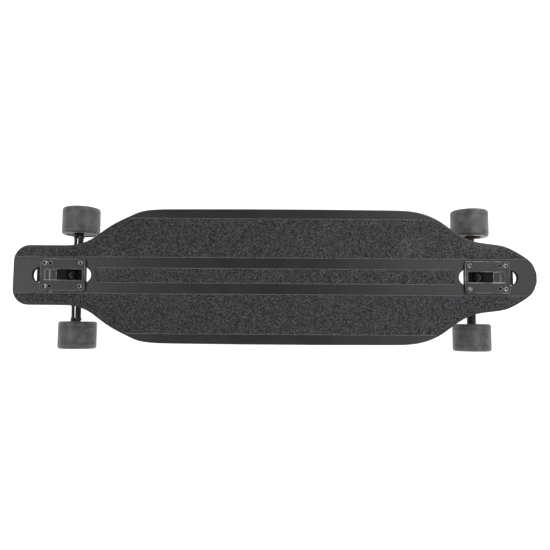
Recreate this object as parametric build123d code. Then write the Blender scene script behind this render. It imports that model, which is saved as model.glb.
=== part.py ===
"""Electric longboard skateboard with drop-through trucks, two rear hub motors and a battery box.

Frame, in millimetres: +X towards the rounded nose, +Y towards the rider's left, +Z up. The origin lies on
the ground under the middle of the deck. Each truck is built in its own frame, with +X pointing outboard
(away from the middle of the board), and is then turned to its end of the deck.
"""

import os
from math import cos, pi, radians, sin, tan

from build123d import *

# ---------------------------------------------------------------- deck
DECK_LENGTH = 940.0
DECK_WIDTH = 244.5
DECK_THICKNESS = 11.5
DECK_TOP = 100.0  # height of the deck's top face above the ground
DECK_EDGE_ROUND = 3.0
TAIL_WIDTH = 108.0
TAIL_CORNER = 28.5
NECK_WIDTH = 122.5  # between the front wheels
WHEEL_CUT = 93.0  # where the parallel tail ends, inboard of the tail's end
# places along the outline, as shares of half the deck's length, and how far each is from an edge or the neck
REAR_SHOULDER = ((-0.711, 10.3), (-0.636, 35.0))  # outboard of the tail's edge
REAR_CHEST = ((-0.560, -14.2), (-0.400, -1.0))  # inboard of the widest edge
FRONT_CHEST = ((0.438, -0.6), (0.551, -4.6), (0.628, -18.8))
FRONT_NECK = ((0.698, 19.0), (0.764, 4.6), (0.826, 0.0), (0.885, -5.2))  # from the neck's edge
NOSE = ((0.9277, -15.0), (0.957, -23.7), (0.9766, -31.2), (0.9904, -40.9), (0.9979, -50.7))
GRIP_THICKNESS = 0.9
GRIP_INSET = 4.0  # bare margin that follows the deck's outline
CENTRE_GRIP_WIDTH = 27.8
SIDE_GRIP_INNER = 32.1
SIDE_GRIP_OUTER = 104.4

# ---------------------------------------------------------------- trucks
TRUCK_CENTRES = 758.0  # between the middles of the two baseplates
AXLE_SETBACK = 7.0  # the axle lies this far inboard of its baseplate's middle
PLATE_LENGTH = 80.0
PLATE_WIDTH = 57.0
PLATE_THICKNESS = 6.0
PLATE_CORNER = 5.0
POCKET_LENGTH = 70.0
POCKET_WIDTH = 19.0
POCKET_WALL = 1.5  # what is left of the flange inboard of the pocket
POCKET_SHELF = 13.0  # below the flange's top, at the pocket's inboard end
POCKET_SHELF_LENGTH = 12.4
POCKET_DEEP = 46.7  # from the pocket's inboard wall to the end of its deep part
POCKET_STEP = 12.0  # length of the first of the two shallow steps beyond it
POCKET_STEP_DEPTHS = (4.6, 3.0)  # of the two steps, below the flange's top
BOSS_RADIUS = 5.0  # on the shelf
BOSS_HOLE = 2.8
BOSS_HEIGHT = 3.0
THROAT_WALL = 3.6  # side walls of the casting that passes through the deck
THROAT_SOLE = 7.0  # underside of the throat's shallow outboard part, below the deck's top
THROAT_STRAIGHT = 10.0  # how far the throat's inboard wall runs straight down from the deck's top
TONGUE_END = 47.8  # of the casting, outboard of the flange, from the plate's middle
SLOT_CLEARANCE = 0.8  # between that casting and the deck, each side
SLOT_INBOARD = 49.5
SLOT_OUTBOARD = 57.5
WINDOW_WIDTH = 34.0  # wider middle of the slot, hidden by the flange
WINDOW_INBOARD = 20.0
WINDOW_OUTBOARD = 24.0
BOLT_LONG = 63.5  # standard truck hole pattern
BOLT_WIDE = 41.3
SPARE_HOLE_STEP = 9.6
BOLT_RADIUS = 2.5
BOLT_HEAD_RADIUS = 4.6
BOLT_HEAD_HEIGHT = 2.8
BOLT_SOCKET_RADIUS = 1.7
BOLT_HOLE_CLEARANCE = 0.25
SPARE_HOLE_RADIUS = 2.75
BOLT_NUT_ACROSS = 8.0
BOLT_NUT_HEIGHT = 5.0
BOLT_TAIL = 1.5  # thread past the nut

STEER_ANGLE = 45.0  # of the steering axis above the ground
RING_X = 5.0  # middle of the hanger's ring, from the middle of the baseplate
RING_DROP = 31.0  # from the flange's top face down to the middle of the ring
RING_RADIUS = 14.0
RING_HOLE = 9.6
RING_THICKNESS = 8.0
PIVOT_DISTANCE = 27.0  # from the middle of the ring to the middle of the pivot ball
PIVOT_RADIUS = 6.0
PIVOT_CLEARANCE = 0.05
PIVOT_CUP_WALL = 2.0
PIVOT_CUP_FLOOR = 2.2
PIVOT_CUP_MOUTH = 6.0  # the cup's mouth, from the middle of the ball
PIVOT_POST_WALL = 2.5
SEAT_THICKNESS = 6.0
SEAT_RADIUS = 15.4
BUSHING_RADIUS = 13.4
BUSHING_NOSE_RADIUS = 10.6
BUSHING_BOSS_RADIUS = 9.0
BUSHING_BOSS = 1.8
BOARDSIDE_BUSHING = 11.5
ROADSIDE_BUSHING = 10.5
CUP_WASHER = 1.5
CUP_WASHER_LIP = 1.0
KINGPIN_RADIUS = 4.76
KINGPIN_CLEARANCE = 0.2
KINGPIN_HEAD_RADIUS = 7.6
KINGPIN_HEAD = 6.0
KINGPIN_TAIL = 3.0
KINGPIN_NUT_ACROSS = 14.3
KINGPIN_NUT = 7.0
PRESS_GAP = 0.02  # between pieces pushed together in one body

# ---------------------------------------------------------------- hangers and wheels
WHEEL_DIAMETER = 70.0
WHEEL_WIDTH = 51.0
WHEEL_TRACK = 216.0  # between the middles of the left and right wheels
WHEEL_LIP = 7.0
HANGER_BAR_RADIUS = 8.5
FRONT_BAR_END_RADIUS = 8.2
REAR_BAR_END_RADIUS = 5.2
ARM_TAPER = 11.0  # length over which the arm narrows beyond the foot
HANGER_SHOULDER = 45.0  # half width of the casting's foot along the axle
HANGER_WAIST = 13.0  # half width of the casting beside the ring
AXLE_RADIUS = 4.0
AXLE_END_INSET = 3.0  # from the wheel's outer face back to the axle's end
REAR_AXLE_END_INSET = 5.2  # the same inside the motors' covers
AXLE_FIT = 0.03  # radial running clearance of the bearings
AXLE_NUT_ACROSS = 13.0
AXLE_NUT = 6.5
WASHER_RADIUS = 5.8
WASHER = 1.0
AXIAL_PLAY = 0.1
BEARING_RADIUS = 11.0
BEARING_WIDTH = 7.0
BEARING_SPAN = 24.0
SPACER_RADIUS = 5.4
CORE_RADIUS = 21.0
CORE_FLANGE = 23.0
CORE_WIDTH = 36.0
CORE_SHOULDER = 9.0
CORE_WEB = 6.0
CORE_SPOKES = 8

# ---------------------------------------------------------------- hub motors
CAN_RADIUS = 27.0
CAN_WALL = 2.2
CAN_END = 3.0
CAN_START = 4.8  # from the wheel's inner face
CAN_RIM_INSET = 2.2  # from the wheel's outer face back to the can's rim
END_PLATE_DEPTH = 12.5  # from the wheel's outer face to the can's end plate
BOSS_WALL = 1.6
FLANGE_START = 1.6
FLANGE = 2.6
FLANGE_GAP = 1.0  # radial, inside the tyre sleeve
TUBE_GAP = 0.5
TUBE_WALL = 2.0
TUBE_END_GAP = 1.0
MAGNET = 1.6
MAGNETS = 14
MAGNET_SLIVER = 1.0  # gap between neighbouring magnets
AIR_GAP = 0.6
STATOR_LENGTH = 18.0
STATOR_SLOTS = 12
SLOT_WIDTH = 2.6
SLOT_DEPTH = 5.2
HUB_CAP = 2.0
HUB_CAP_SCREWS = 6
HUB_CAP_SCREW_RADIUS = 1.4

# ---------------------------------------------------------------- battery box under the deck
BOX_LENGTH = 500.0
BOX_WIDTH = 172.0
BOX_HEIGHT = 33.0
BOX_WALL = 2.6
BOX_CORNER = 22.0
BOX_EDGE = 9.0
BOX_FLANGE = 12.0
BOX_FLANGE_THICKNESS = 3.0
GASKET = 1.0
BOX_SCREWS_LONG = 7
BOX_SCREWS_WIDE = 3
SCREW_RADIUS = 2.0
SCREW_HEAD_RADIUS = 3.8
SCREW_HEAD = 2.2
SCREW_DEPTH = 7.0
SCREW_CLEARANCE = 0.1
BATTERY_MIDDLE = 70.0
CELL_RADIUS = 9.2
CELL_LENGTH = 65.0
CELL_COLUMNS = 12
CELL_ROWS = 2
CELL_GAP = 1.2
CELL_END_GAP = 3.0
TRAY_FLOOR = 2.0
TRAY_EDGE = 3.0
SEAT_GAP = 0.1  # between a cell and its cradle
STRAP_THICKNESS = 0.4
CONTROLLER_MIDDLE = -140.0
CONTROLLER_LENGTH = 100.0
CONTROLLER_WIDTH = 80.0
CONTROLLER_THICKNESS = 1.6
SINK_FINS = 9
SINK_BASE = 3.0
SINK_HEIGHT = 9.0
FIN_THICKNESS = 2.0
CAPACITOR_RADIUS = 5.0
CAPACITOR_HEIGHT = 15.0
BMS_LENGTH = 16.0
BMS_WIDTH = 90.0
LEAD_RADIUS = 1.6
PANEL_X = -170.0  # middle of the charge port in the box's right wall
PANEL_DEPTH = 17.0  # of the panel's middle below the deck
PANEL_STEP = 38.0  # from the port to the button and on to the light
BUTTON_RADIUS = 7.0
BUTTON_GAP = 0.35
BUTTON_PROUD = 1.8
BUTTON_STEM_RADIUS = 3.0
BUTTON_STEM = 5.0
BUTTON_COLLAR = 2.2  # of the switch body, round the button
PORT_RADIUS = 8.0
PORT_BORE = 5.0
PORT_LENGTH = 12.0
PORT_RIM = 1.5
CAP_THICKNESS = 2.0
CAP_GAP = 0.3
CAP_EAR = 3.0
CAP_PIN_RADIUS = 1.2
CAP_PIN_CLEARANCE = 0.05
LIGHT_LENGTH = 22.0
LIGHT_HEIGHT = 4.0
LIGHT_PROUD = 0.4
CABLE_RADIUS = 2.9
CABLE_X = 1.2  # of the cable's straight stretch along the hanger, in the truck's frame
CABLE_RISE = 4.0  # of that stretch above the axle
GLAND_RADIUS = 5.5
GLAND_LENGTH = 11.0
GLAND_SPREAD = 35.0  # of each gland from the board's middle line
CLIP_WALL = 1.2
CLIP_WIDTH = 5.0
CLIP_FIT = 0.08
CLIP_SPOT = 78.0  # of the clip along the axle

# ---------------------------------------------------------------- worked out from the above
AXLE_HEIGHT = WHEEL_DIAMETER / 2
DECK_BOTTOM = DECK_TOP - DECK_THICKNESS
PLATE_TOP = DECK_TOP + PLATE_THICKNESS
WHEEL_MIDDLE = WHEEL_TRACK / 2
WHEEL_INNER = WHEEL_MIDDLE - WHEEL_WIDTH / 2
WHEEL_OUTER = WHEEL_MIDDLE + WHEEL_WIDTH / 2
BEARING_INNER = WHEEL_MIDDLE - BEARING_SPAN / 2
BEARING_OUTER = WHEEL_MIDDLE + BEARING_SPAN / 2
THROAT_WIDTH = POCKET_WIDTH + 2 * THROAT_WALL
SLOT_WIDTH_IN_DECK = THROAT_WIDTH + 2 * SLOT_CLEARANCE
SLOT_LENGTH = SLOT_INBOARD + SLOT_OUTBOARD
BOX_BOTTOM = DECK_BOTTOM - BOX_HEIGHT
BOX_FLOOR = BOX_BOTTOM + BOX_WALL

ALONG = (cos(radians(STEER_ANGLE)), 0, sin(radians(STEER_ANGLE)))  # steering axis, up and outboard
DOWN = (sin(radians(STEER_ANGLE)), 0, -cos(radians(STEER_ANGLE)))  # kingpin, down and outboard
RING_HEIGHT = PLATE_TOP - RING_DROP
RING = Vector(RING_X, 0, RING_HEIGHT)
PIVOT = RING - Vector(*ALONG) * PIVOT_DISTANCE
# X of this plane runs up the steering axis and Z runs down the kingpin, both from the ring's middle
STEER_PLANE = Plane(origin=RING, x_dir=ALONG, z_dir=DOWN)
SEAT = -(RING_THICKNESS / 2 + BOARDSIDE_BUSHING + CUP_WASHER)  # the seat's face, along the kingpin
AXLE_LOCAL = STEER_PLANE.to_local_coords(Vector(-AXLE_SETBACK, 0, AXLE_HEIGHT))
CUP_RADIUS = PIVOT_RADIUS + PIVOT_CLEARANCE + PIVOT_CUP_WALL
POST_RADIUS = CUP_RADIUS + PIVOT_POST_WALL

os.makedirs("parts", exist_ok=True)


def save(name, *shapes):
    """Write one named sub-part, made of one solid or of several separate ones."""
    solids = [s for shape in shapes for s in shape.solids()]
    export_step(Compound(children=solids) if len(solids) > 1 else solids[0], f"parts/{name}.step")


def ring(outer, inner, start, length):
    """A round ring along +Z, from start."""
    return Pos(0, 0, start) * extrude(Circle(outer) - Circle(inner), length)


def rod(radius, start, length):
    """A round bar along +Z, from start."""
    return Pos(0, 0, start) * extrude(Circle(radius), length)


def hexagon(across, start, length, hole=0.0):
    """A hexagonal prism along +Z, from start, by its width across flats."""
    prism = Pos(0, 0, start) * extrude(RegularPolygon(across / 2, 6, major_radius=False), length)
    return prism - rod(hole, start, length) if hole else prism


def block(x0, x1, y0, y1, z0, z1):
    """A box between two corners."""
    return Pos((x0 + x1) / 2, (y0 + y1) / 2, (z0 + z1) / 2) * Box(x1 - x0, y1 - y0, z1 - z0)


def turned(profile):
    """A solid of revolution about Z, from points given as (radius, height)."""
    return revolve(Plane.XZ * make_face(Polyline(*profile, close=True)), Axis.Z)


def at_end(shape, end):
    """Move a truck piece from the truck's own frame to the nose (1) or the tail (-1)."""
    turn = 0 if end > 0 else 180
    return Pos(end * TRUCK_CENTRES / 2, 0, 0) * Rot(0, 0, turn) * shape


def on_axle(shape, side):
    """Lay a piece made along +Z on the axle, with +Z pointing out to the left (1) or the right (-1)."""
    return Pos(-AXLE_SETBACK, 0, AXLE_HEIGHT) * Rot(-90 * side, 0, 0) * shape


def truck_side(end, side):
    """The truck's own side that is the board's left (1) or right (-1)."""
    return end * side


# ---------------------------------------------------------------- deck
def drawn_in(points, inset):
    """Points along an edge, all but the first and last moved square to the edge by inset, to its right."""
    moved = []
    for before, here, after in zip(points, points[1:], points[2:]):
        along = (Vector(*after) - Vector(*before)).normalized()
        moved.append((here[0] + along.Y * inset, here[1] - along.X * inset))
    return moved


def deck_outline(inset=0.0):
    """The deck's outline as one face: square tail, cut-outs at the wheels, blunt round nose."""
    half = DECK_LENGTH / 2
    wide = DECK_WIDTH / 2
    tail = TAIL_WIDTH / 2
    neck = NECK_WIDTH / 2
    corner = TAIL_CORNER - inset
    tail_end = (inset - half, 0)
    corner_start = (inset - half, tail - TAIL_CORNER)
    corner_end = (TAIL_CORNER - half, tail - inset)
    cut_start = (WHEEL_CUT - half, tail - inset)
    rear = [(x * half, tail + y) for x, y in REAR_SHOULDER] + [(x * half, wide + y) for x, y in REAR_CHEST]
    nose_side = [(x * half, wide + y) for x, y in FRONT_CHEST] + [(x * half, neck + y) for x, y in FRONT_NECK + NOSE]
    side_start = (rear[-1][0], rear[-1][1] - inset)
    side_end = (nose_side[0][0], nose_side[0][1] - inset)
    rear_shoulder = drawn_in([cut_start, *rear], inset)
    nose_side = drawn_in([*nose_side, (half, 0)], inset)
    tip = (half - inset, 0)
    upper = [
        Line(tail_end, corner_start),
        RadiusArc(corner_start, corner_end, corner),
        Line(corner_end, cut_start),
        Spline(cut_start, *rear_shoulder, side_start, tangents=[(1, 0), (1, 0.01)]),
        ThreePointArc(side_start, (0, wide - inset), side_end),
        Spline(side_end, *nose_side, tip, tangents=[(1, -0.01), (0, -1)]),
    ]
    lower = [mirror(edge, Plane.XZ) for edge in upper]
    return make_face(Curve() + upper + lower)


def truck_slot(end):
    """The opening in the deck for one truck, as a tall cutter."""
    slot = SlotOverall(SLOT_LENGTH, SLOT_WIDTH_IN_DECK)
    slot = Pos((SLOT_OUTBOARD - SLOT_INBOARD) / 2, 0, 0) * slot
    window = Pos((WINDOW_OUTBOARD - WINDOW_INBOARD) / 2, 0, 0) * RectangleRounded(
        WINDOW_OUTBOARD + WINDOW_INBOARD, WINDOW_WIDTH, PLATE_CORNER / 2
    )
    holes = [Pos(x, y, 0) * Circle(BOLT_RADIUS + BOLT_HOLE_CLEARANCE) for x, y in bolt_places()]
    cutter = extrude(slot + window, DECK_THICKNESS)
    for hole in holes:
        cutter += extrude(hole, DECK_THICKNESS)
    return at_end(Pos(0, 0, DECK_BOTTOM) * cutter, end)


def bolt_places():
    """The four truck bolts in the truck's own frame."""
    return [(x * BOLT_LONG / 2, y * BOLT_WIDE / 2) for x in (-1, 1) for y in (-1, 1)]


def box_screw_places():
    """The screws that hold the battery box, spread evenly round its flange."""
    long_half = BOX_LENGTH / 2 + BOX_FLANGE / 2
    wide_half = BOX_WIDTH / 2 + BOX_FLANGE / 2
    reach = long_half - BOX_CORNER - BOX_FLANGE / 2
    step = 2 * reach / (BOX_SCREWS_LONG - 1)
    places = [(i * step - reach, s * wide_half) for i in range(BOX_SCREWS_LONG) for s in (-1, 1)]
    reach = wide_half - BOX_CORNER - BOX_FLANGE / 2
    step = 2 * reach / (BOX_SCREWS_WIDE - 1)
    places += [(s * long_half, i * step - reach) for i in range(BOX_SCREWS_WIDE) for s in (-1, 1)]
    return places


def make_deck():
    """Plank with its slots, bolt holes and screw pilots, and the three strips of grip tape."""
    plank = Pos(0, 0, DECK_BOTTOM) * extrude(deck_outline(), DECK_THICKNESS)
    rims = plank.faces().sort_by(Axis.Z)[0].edges() + plank.faces().sort_by(Axis.Z)[-1].edges()
    plank = fillet(rims, DECK_EDGE_ROUND)
    for end in (-1, 1):
        plank -= truck_slot(end)
    for x, y in box_screw_places():
        plank -= Pos(x, y, 0) * rod(SCREW_RADIUS + SCREW_CLEARANCE, DECK_BOTTOM, SCREW_DEPTH + 0.5)
    save("deck", plank)

    strip_width = SIDE_GRIP_OUTER - SIDE_GRIP_INNER
    for name, side in (("grip_tape_left", 1), ("grip_tape_right", -1)):
        middle = side * (SIDE_GRIP_INNER + SIDE_GRIP_OUTER) / 2
        sheet = deck_outline(GRIP_INSET) & Pos(0, middle) * Rectangle(DECK_LENGTH, strip_width)
        save(name, Pos(0, 0, DECK_TOP) * extrude(sheet, GRIP_THICKNESS))
    reach = TRUCK_CENTRES / 2 - SLOT_INBOARD - 2 * GRIP_INSET
    strip = Pos(0, 0, DECK_TOP) * extrude(Rectangle(2 * reach, CENTRE_GRIP_WIDTH), GRIP_THICKNESS)
    save("grip_tape_centre", strip)


# ---------------------------------------------------------------- truck
def steer(s, t):
    """A point of the truck's middle plane, s up the steering axis and t down the kingpin, as (x, z)."""
    point = RING + Vector(*ALONG) * s + Vector(*DOWN) * t
    return (point.X, point.Z)


def baseplate():
    """Flange on the deck, hollow throat through it, tilted bushing seat and pivot post below."""
    flange = Pos(0, 0, DECK_TOP) * extrude(
        RectangleRounded(PLATE_LENGTH, PLATE_WIDTH, PLATE_CORNER), PLATE_THICKNESS
    )
    inboard = POCKET_WALL - PLATE_LENGTH / 2
    outboard = inboard + POCKET_LENGTH
    seat_back = SEAT - SEAT_THICKNESS
    post_top = PIVOT_CUP_MOUTH - PIVOT_DISTANCE
    cup_floor = -(PIVOT_RADIUS + PIVOT_CLEARANCE + PIVOT_CUP_FLOOR)
    sole = DECK_TOP - THROAT_SOLE
    corner = (sole - RING_HEIGHT + SEAT * cos(radians(STEER_ANGLE))) / sin(radians(STEER_ANGLE))
    cup_corner = steer(cup_floor - PIVOT_DISTANCE, -CUP_RADIUS)
    heel = (cup_corner[0] - PIVOT_POST_WALL / 2, cup_corner[1])
    knee = (inboard, DECK_TOP - THROAT_STRAIGHT)
    outside = [
        (inboard, PLATE_TOP),
        knee,
        heel,
        steer(post_top, -CUP_RADIUS / 2),
        steer(post_top, SEAT),
        steer(corner, SEAT),
        (outboard + THROAT_WALL, sole),
        (outboard + THROAT_WALL, PLATE_TOP),
    ]
    throat = extrude(Plane.XZ * make_face(Polyline(*outside, close=True)), THROAT_WIDTH / 2, both=True)
    slot = SlotOverall(SLOT_LENGTH - 2 * SLOT_CLEARANCE, THROAT_WIDTH)
    slot = Pos((SLOT_OUTBOARD - SLOT_INBOARD) / 2, 0, sole) * extrude(slot, DECK_TOP - sole)
    tongue = slot & block(outboard, TONGUE_END, -THROAT_WIDTH, THROAT_WIDTH, sole, DECK_TOP)
    body = flange + throat + tongue
    body += STEER_PLANE * rod(SEAT_RADIUS, seat_back, SEAT_THICKNESS)
    post_start = cup_floor - PIVOT_POST_WALL
    body += pivot_plane() * rod(POST_RADIUS, post_start, PIVOT_CUP_MOUTH - post_start)
    # the inboard wall slopes back to the post in one plane, which also trims the post
    slope = (heel[0] - knee[0]) / (knee[1] - heel[1])
    beyond = [knee, (knee[0] + slope * knee[1], 0), (-PLATE_LENGTH, 0), (-PLATE_LENGTH, knee[1])]
    body -= extrude(Plane.XZ * make_face(Polyline(*beyond, close=True)), PLATE_WIDTH / 2, both=True)

    # from inboard: a shelf with a boss, the deep part down to the back of the seat, and two shallow steps
    start = inboard + THROAT_WALL
    shelf = PLATE_TOP - POCKET_SHELF
    shelf_end = start + POCKET_SHELF_LENGTH
    deep_end = start + POCKET_DEEP
    first_step, second_step = (PLATE_TOP - depth for depth in POCKET_STEP_DEPTHS)
    seat_edge = steer(BUSHING_RADIUS - CUP_WASHER, seat_back)
    inside = [
        (start, PLATE_TOP + 1),
        (start, shelf),
        (shelf_end, shelf),
        (shelf_end, seat_edge[1] - (seat_edge[0] - shelf_end) * tan(radians(STEER_ANGLE))),
        seat_edge,
        (deep_end, seat_edge[1]),
        (deep_end, first_step),
        (deep_end + POCKET_STEP, first_step),
        (deep_end + POCKET_STEP, second_step),
        (outboard, second_step),
        (outboard, PLATE_TOP + 1),
    ]
    body -= extrude(Plane.XZ * make_face(Polyline(*inside, close=True)), POCKET_WIDTH / 2, both=True)
    body += Pos((start + shelf_end) / 2, 0, 0) * ring(BOSS_RADIUS, BOSS_HOLE, shelf, BOSS_HEIGHT)
    relief = SEAT_RADIUS + 0.1
    body -= STEER_PLANE * rod(relief, SEAT, BOARDSIDE_BUSHING + CUP_WASHER + RING_THICKNESS)
    body -= STEER_PLANE * rod(KINGPIN_RADIUS + KINGPIN_CLEARANCE, seat_back - 1, SEAT_THICKNESS + 2)
    body -= pivot_plane() * rod(CUP_RADIUS + PRESS_GAP, cup_floor, PIVOT_CUP_MOUTH - cup_floor)
    spare = BOLT_LONG / 2 - SPARE_HOLE_STEP
    for x, y in bolt_places():
        body -= Pos(x, y, 0) * rod(BOLT_RADIUS + BOLT_HOLE_CLEARANCE, DECK_TOP, PLATE_THICKNESS)
        if x > 0:
            body -= Pos(spare, y, 0) * rod(SPARE_HOLE_RADIUS, DECK_TOP, PLATE_THICKNESS)
    return body


def pivot_plane():
    """Z runs up the steering axis from the middle of the pivot ball."""
    return Plane(origin=PIVOT, x_dir=(0, 1, 0), z_dir=ALONG)


def pivot_cup():
    """Urethane cup round the hanger's pivot, with a round bottom."""
    bore = PIVOT_RADIUS + PIVOT_CLEARANCE
    floor = -(bore + PIVOT_CUP_FLOOR)
    cup = rod(CUP_RADIUS, floor, PIVOT_CUP_MOUTH - floor)
    cup -= rod(bore, 0, PIVOT_CUP_MOUTH)
    cup -= Sphere(bore)
    return pivot_plane() * cup


def bushings():
    """Barrel bushing above the hanger's ring and cone bushing below it, along the kingpin."""
    hole = KINGPIN_RADIUS + KINGPIN_CLEARANCE
    half = RING_THICKNESS / 2
    chamfer_size = 1.0
    top = SEAT + CUP_WASHER
    barrel = turned([
        (hole, top), (BUSHING_RADIUS - chamfer_size, top), (BUSHING_RADIUS, top + chamfer_size),
        (BUSHING_RADIUS, -half - chamfer_size), (BUSHING_RADIUS - chamfer_size, -half),
        (BUSHING_BOSS_RADIUS, -half), (BUSHING_BOSS_RADIUS, BUSHING_BOSS - half), (hole, BUSHING_BOSS - half),
    ])
    end = half + ROADSIDE_BUSHING
    cone = turned([
        (hole, half - BUSHING_BOSS), (BUSHING_BOSS_RADIUS, half - BUSHING_BOSS), (BUSHING_BOSS_RADIUS, half),
        (BUSHING_RADIUS - chamfer_size, half), (BUSHING_RADIUS, half + chamfer_size),
        (BUSHING_NOSE_RADIUS, end), (hole, end),
    ])
    return STEER_PLANE * barrel, STEER_PLANE * cone


def cup_washers():
    """Dished washers outside the two bushings, each with a lip that holds its bushing."""
    hole = KINGPIN_RADIUS + KINGPIN_CLEARANCE
    gap = 0.3
    upper = ring(BUSHING_RADIUS + gap + 1.0, hole, SEAT, CUP_WASHER)
    upper += ring(BUSHING_RADIUS + gap + 1.0, BUSHING_RADIUS + gap, SEAT, CUP_WASHER + CUP_WASHER_LIP)
    start = RING_THICKNESS / 2 + ROADSIDE_BUSHING
    flare = BUSHING_NOSE_RADIUS + 2 * gap
    lower = ring(flare + 1.0, hole, start, CUP_WASHER)
    lower += ring(flare + 1.0, flare, start - CUP_WASHER_LIP, CUP_WASHER_LIP)
    return STEER_PLANE * upper, STEER_PLANE * lower


def kingpin():
    """The kingpin, from its head on the back of the seat to its threaded tail, and its lock nut."""
    nut_start = RING_THICKNESS / 2 + ROADSIDE_BUSHING + CUP_WASHER
    head_start = SEAT - SEAT_THICKNESS - KINGPIN_HEAD
    tail_end = nut_start + KINGPIN_NUT + KINGPIN_TAIL
    pin = rod(KINGPIN_RADIUS, head_start, tail_end - head_start)
    pin += rod(KINGPIN_HEAD_RADIUS, head_start, KINGPIN_HEAD)
    pin -= hexagon(KINGPIN_HEAD_RADIUS, head_start, KINGPIN_HEAD / 2)
    pin = chamfer(pin.edges().sort_by(Axis.Z)[-1], 0.8)
    nut = hexagon(KINGPIN_NUT_ACROSS, nut_start, KINGPIN_NUT * 0.75, KINGPIN_RADIUS + PRESS_GAP)
    nut += ring(KINGPIN_NUT_ACROSS / 2, KINGPIN_RADIUS + PRESS_GAP, nut_start, KINGPIN_NUT)
    return STEER_PLANE * pin, STEER_PLANE * nut


def hanger(bar_end, bar_end_radius):
    """Cast hanger: ring on the kingpin, pivot nose, and a spreading foot that carries the axle."""
    s_axle, t_axle = AXLE_LOCAL.X, AXLE_LOCAL.Z
    root = PIVOT_CUP_MOUTH - PIVOT_DISTANCE + 2.0  # where the nose meets the casting
    half = RING_THICKNESS / 2
    below = HANGER_BAR_RADIUS * 0.7
    neck = -RING_RADIUS - 0.5  # the casting is thicker than the ring only clear of the bushings
    side = [
        (0, -half), (neck, -half), (root, -half - 1.5), (root, t_axle - HANGER_BAR_RADIUS),
        (s_axle + 2, t_axle - below), (s_axle, t_axle), (s_axle + below, t_axle + below),
        (neck - 1.5, half + ROADSIDE_BUSHING), (neck, half), (0, half),
    ]
    front = [
        (0, -HANGER_WAIST), (0, HANGER_WAIST), (root * 0.55, HANGER_WAIST), (root, HANGER_SHOULDER * 0.6),
        (s_axle, HANGER_SHOULDER), (s_axle - below, HANGER_SHOULDER), (s_axle - below, -HANGER_SHOULDER),
        (s_axle, -HANGER_SHOULDER), (root, -HANGER_SHOULDER * 0.6), (root * 0.55, -HANGER_WAIST),
    ]
    body = extrude(Plane.XZ * make_face(Polyline(*side, close=True)), HANGER_SHOULDER, both=True)
    body &= extrude(make_face(Polyline(*front, close=True)), 2 * t_axle, both=True)
    body += ring(RING_RADIUS, RING_HOLE, -half, RING_THICKNESS)
    body -= rod(RING_HOLE, -2 * half, 4 * half)
    nose = Pos(-PIVOT_DISTANCE, 0, 0) * Rot(0, 90, 0) * rod(PIVOT_RADIUS, 0, PIVOT_DISTANCE + root)
    body += nose + Pos(-PIVOT_DISTANCE, 0, 0) * Sphere(PIVOT_RADIUS)
    casting = STEER_PLANE * body
    for way in (-1, 1):
        shoulder = on_axle(rod(HANGER_BAR_RADIUS, 0, HANGER_SHOULDER), way)
        arm = turned([
            (0, HANGER_SHOULDER), (HANGER_BAR_RADIUS, HANGER_SHOULDER), (bar_end_radius, HANGER_SHOULDER + ARM_TAPER),
            (bar_end_radius, bar_end), (0, bar_end),
        ])
        casting += shoulder + on_axle(arm, way)
    return casting - on_axle(rod(AXLE_RADIUS + PRESS_GAP, -bar_end, 2 * bar_end), 1)


def truck_bolts():
    """Four button-head bolts from the flange down through the deck, each with its lock nut."""
    pieces = []
    for x, y in bolt_places():
        length = PLATE_TOP - DECK_BOTTOM + BOLT_NUT_HEIGHT + BOLT_TAIL
        head = turned([
            (0, 0), (BOLT_HEAD_RADIUS, 0), (BOLT_HEAD_RADIUS, BOLT_HEAD_HEIGHT * 0.4),
            (BOLT_HEAD_RADIUS * 0.6, BOLT_HEAD_HEIGHT), (0, BOLT_HEAD_HEIGHT),
        ])
        bolt = head - hexagon(2 * BOLT_SOCKET_RADIUS, BOLT_HEAD_HEIGHT * 0.3, BOLT_HEAD_HEIGHT)
        bolt += rod(BOLT_RADIUS, -length, length)
        nut = hexagon(BOLT_NUT_ACROSS, -BOLT_NUT_HEIGHT, BOLT_NUT_HEIGHT, BOLT_RADIUS + PRESS_GAP)
        pieces += [Pos(x, y, PLATE_TOP) * bolt, Pos(x, y, DECK_BOTTOM) * nut]
    return pieces


def axle_pieces(end, inner_start):
    """The steel on one axle: the shaft, and its nuts, washers and bearing spacers."""
    shaft = on_axle(rod(AXLE_RADIUS, -end, 2 * end), 1)
    bore = AXLE_RADIUS + PRESS_GAP
    pieces = []
    for way in (-1, 1):
        washer = BEARING_OUTER + AXIAL_PLAY
        spacer = BEARING_INNER + BEARING_WIDTH + AXIAL_PLAY
        spacer_length = BEARING_SPAN - 2 * BEARING_WIDTH - 2 * AXIAL_PLAY
        pieces += [
            on_axle(hexagon(AXLE_NUT_ACROSS, washer + WASHER, AXLE_NUT, bore), way),
            on_axle(ring(WASHER_RADIUS, bore, washer, WASHER), way),
            on_axle(ring(SPACER_RADIUS, bore, spacer, spacer_length), way),
            on_axle(ring(WASHER_RADIUS, bore, inner_start, BEARING_INNER - AXIAL_PLAY - inner_start), way),
        ]
    return shaft, pieces


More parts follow.
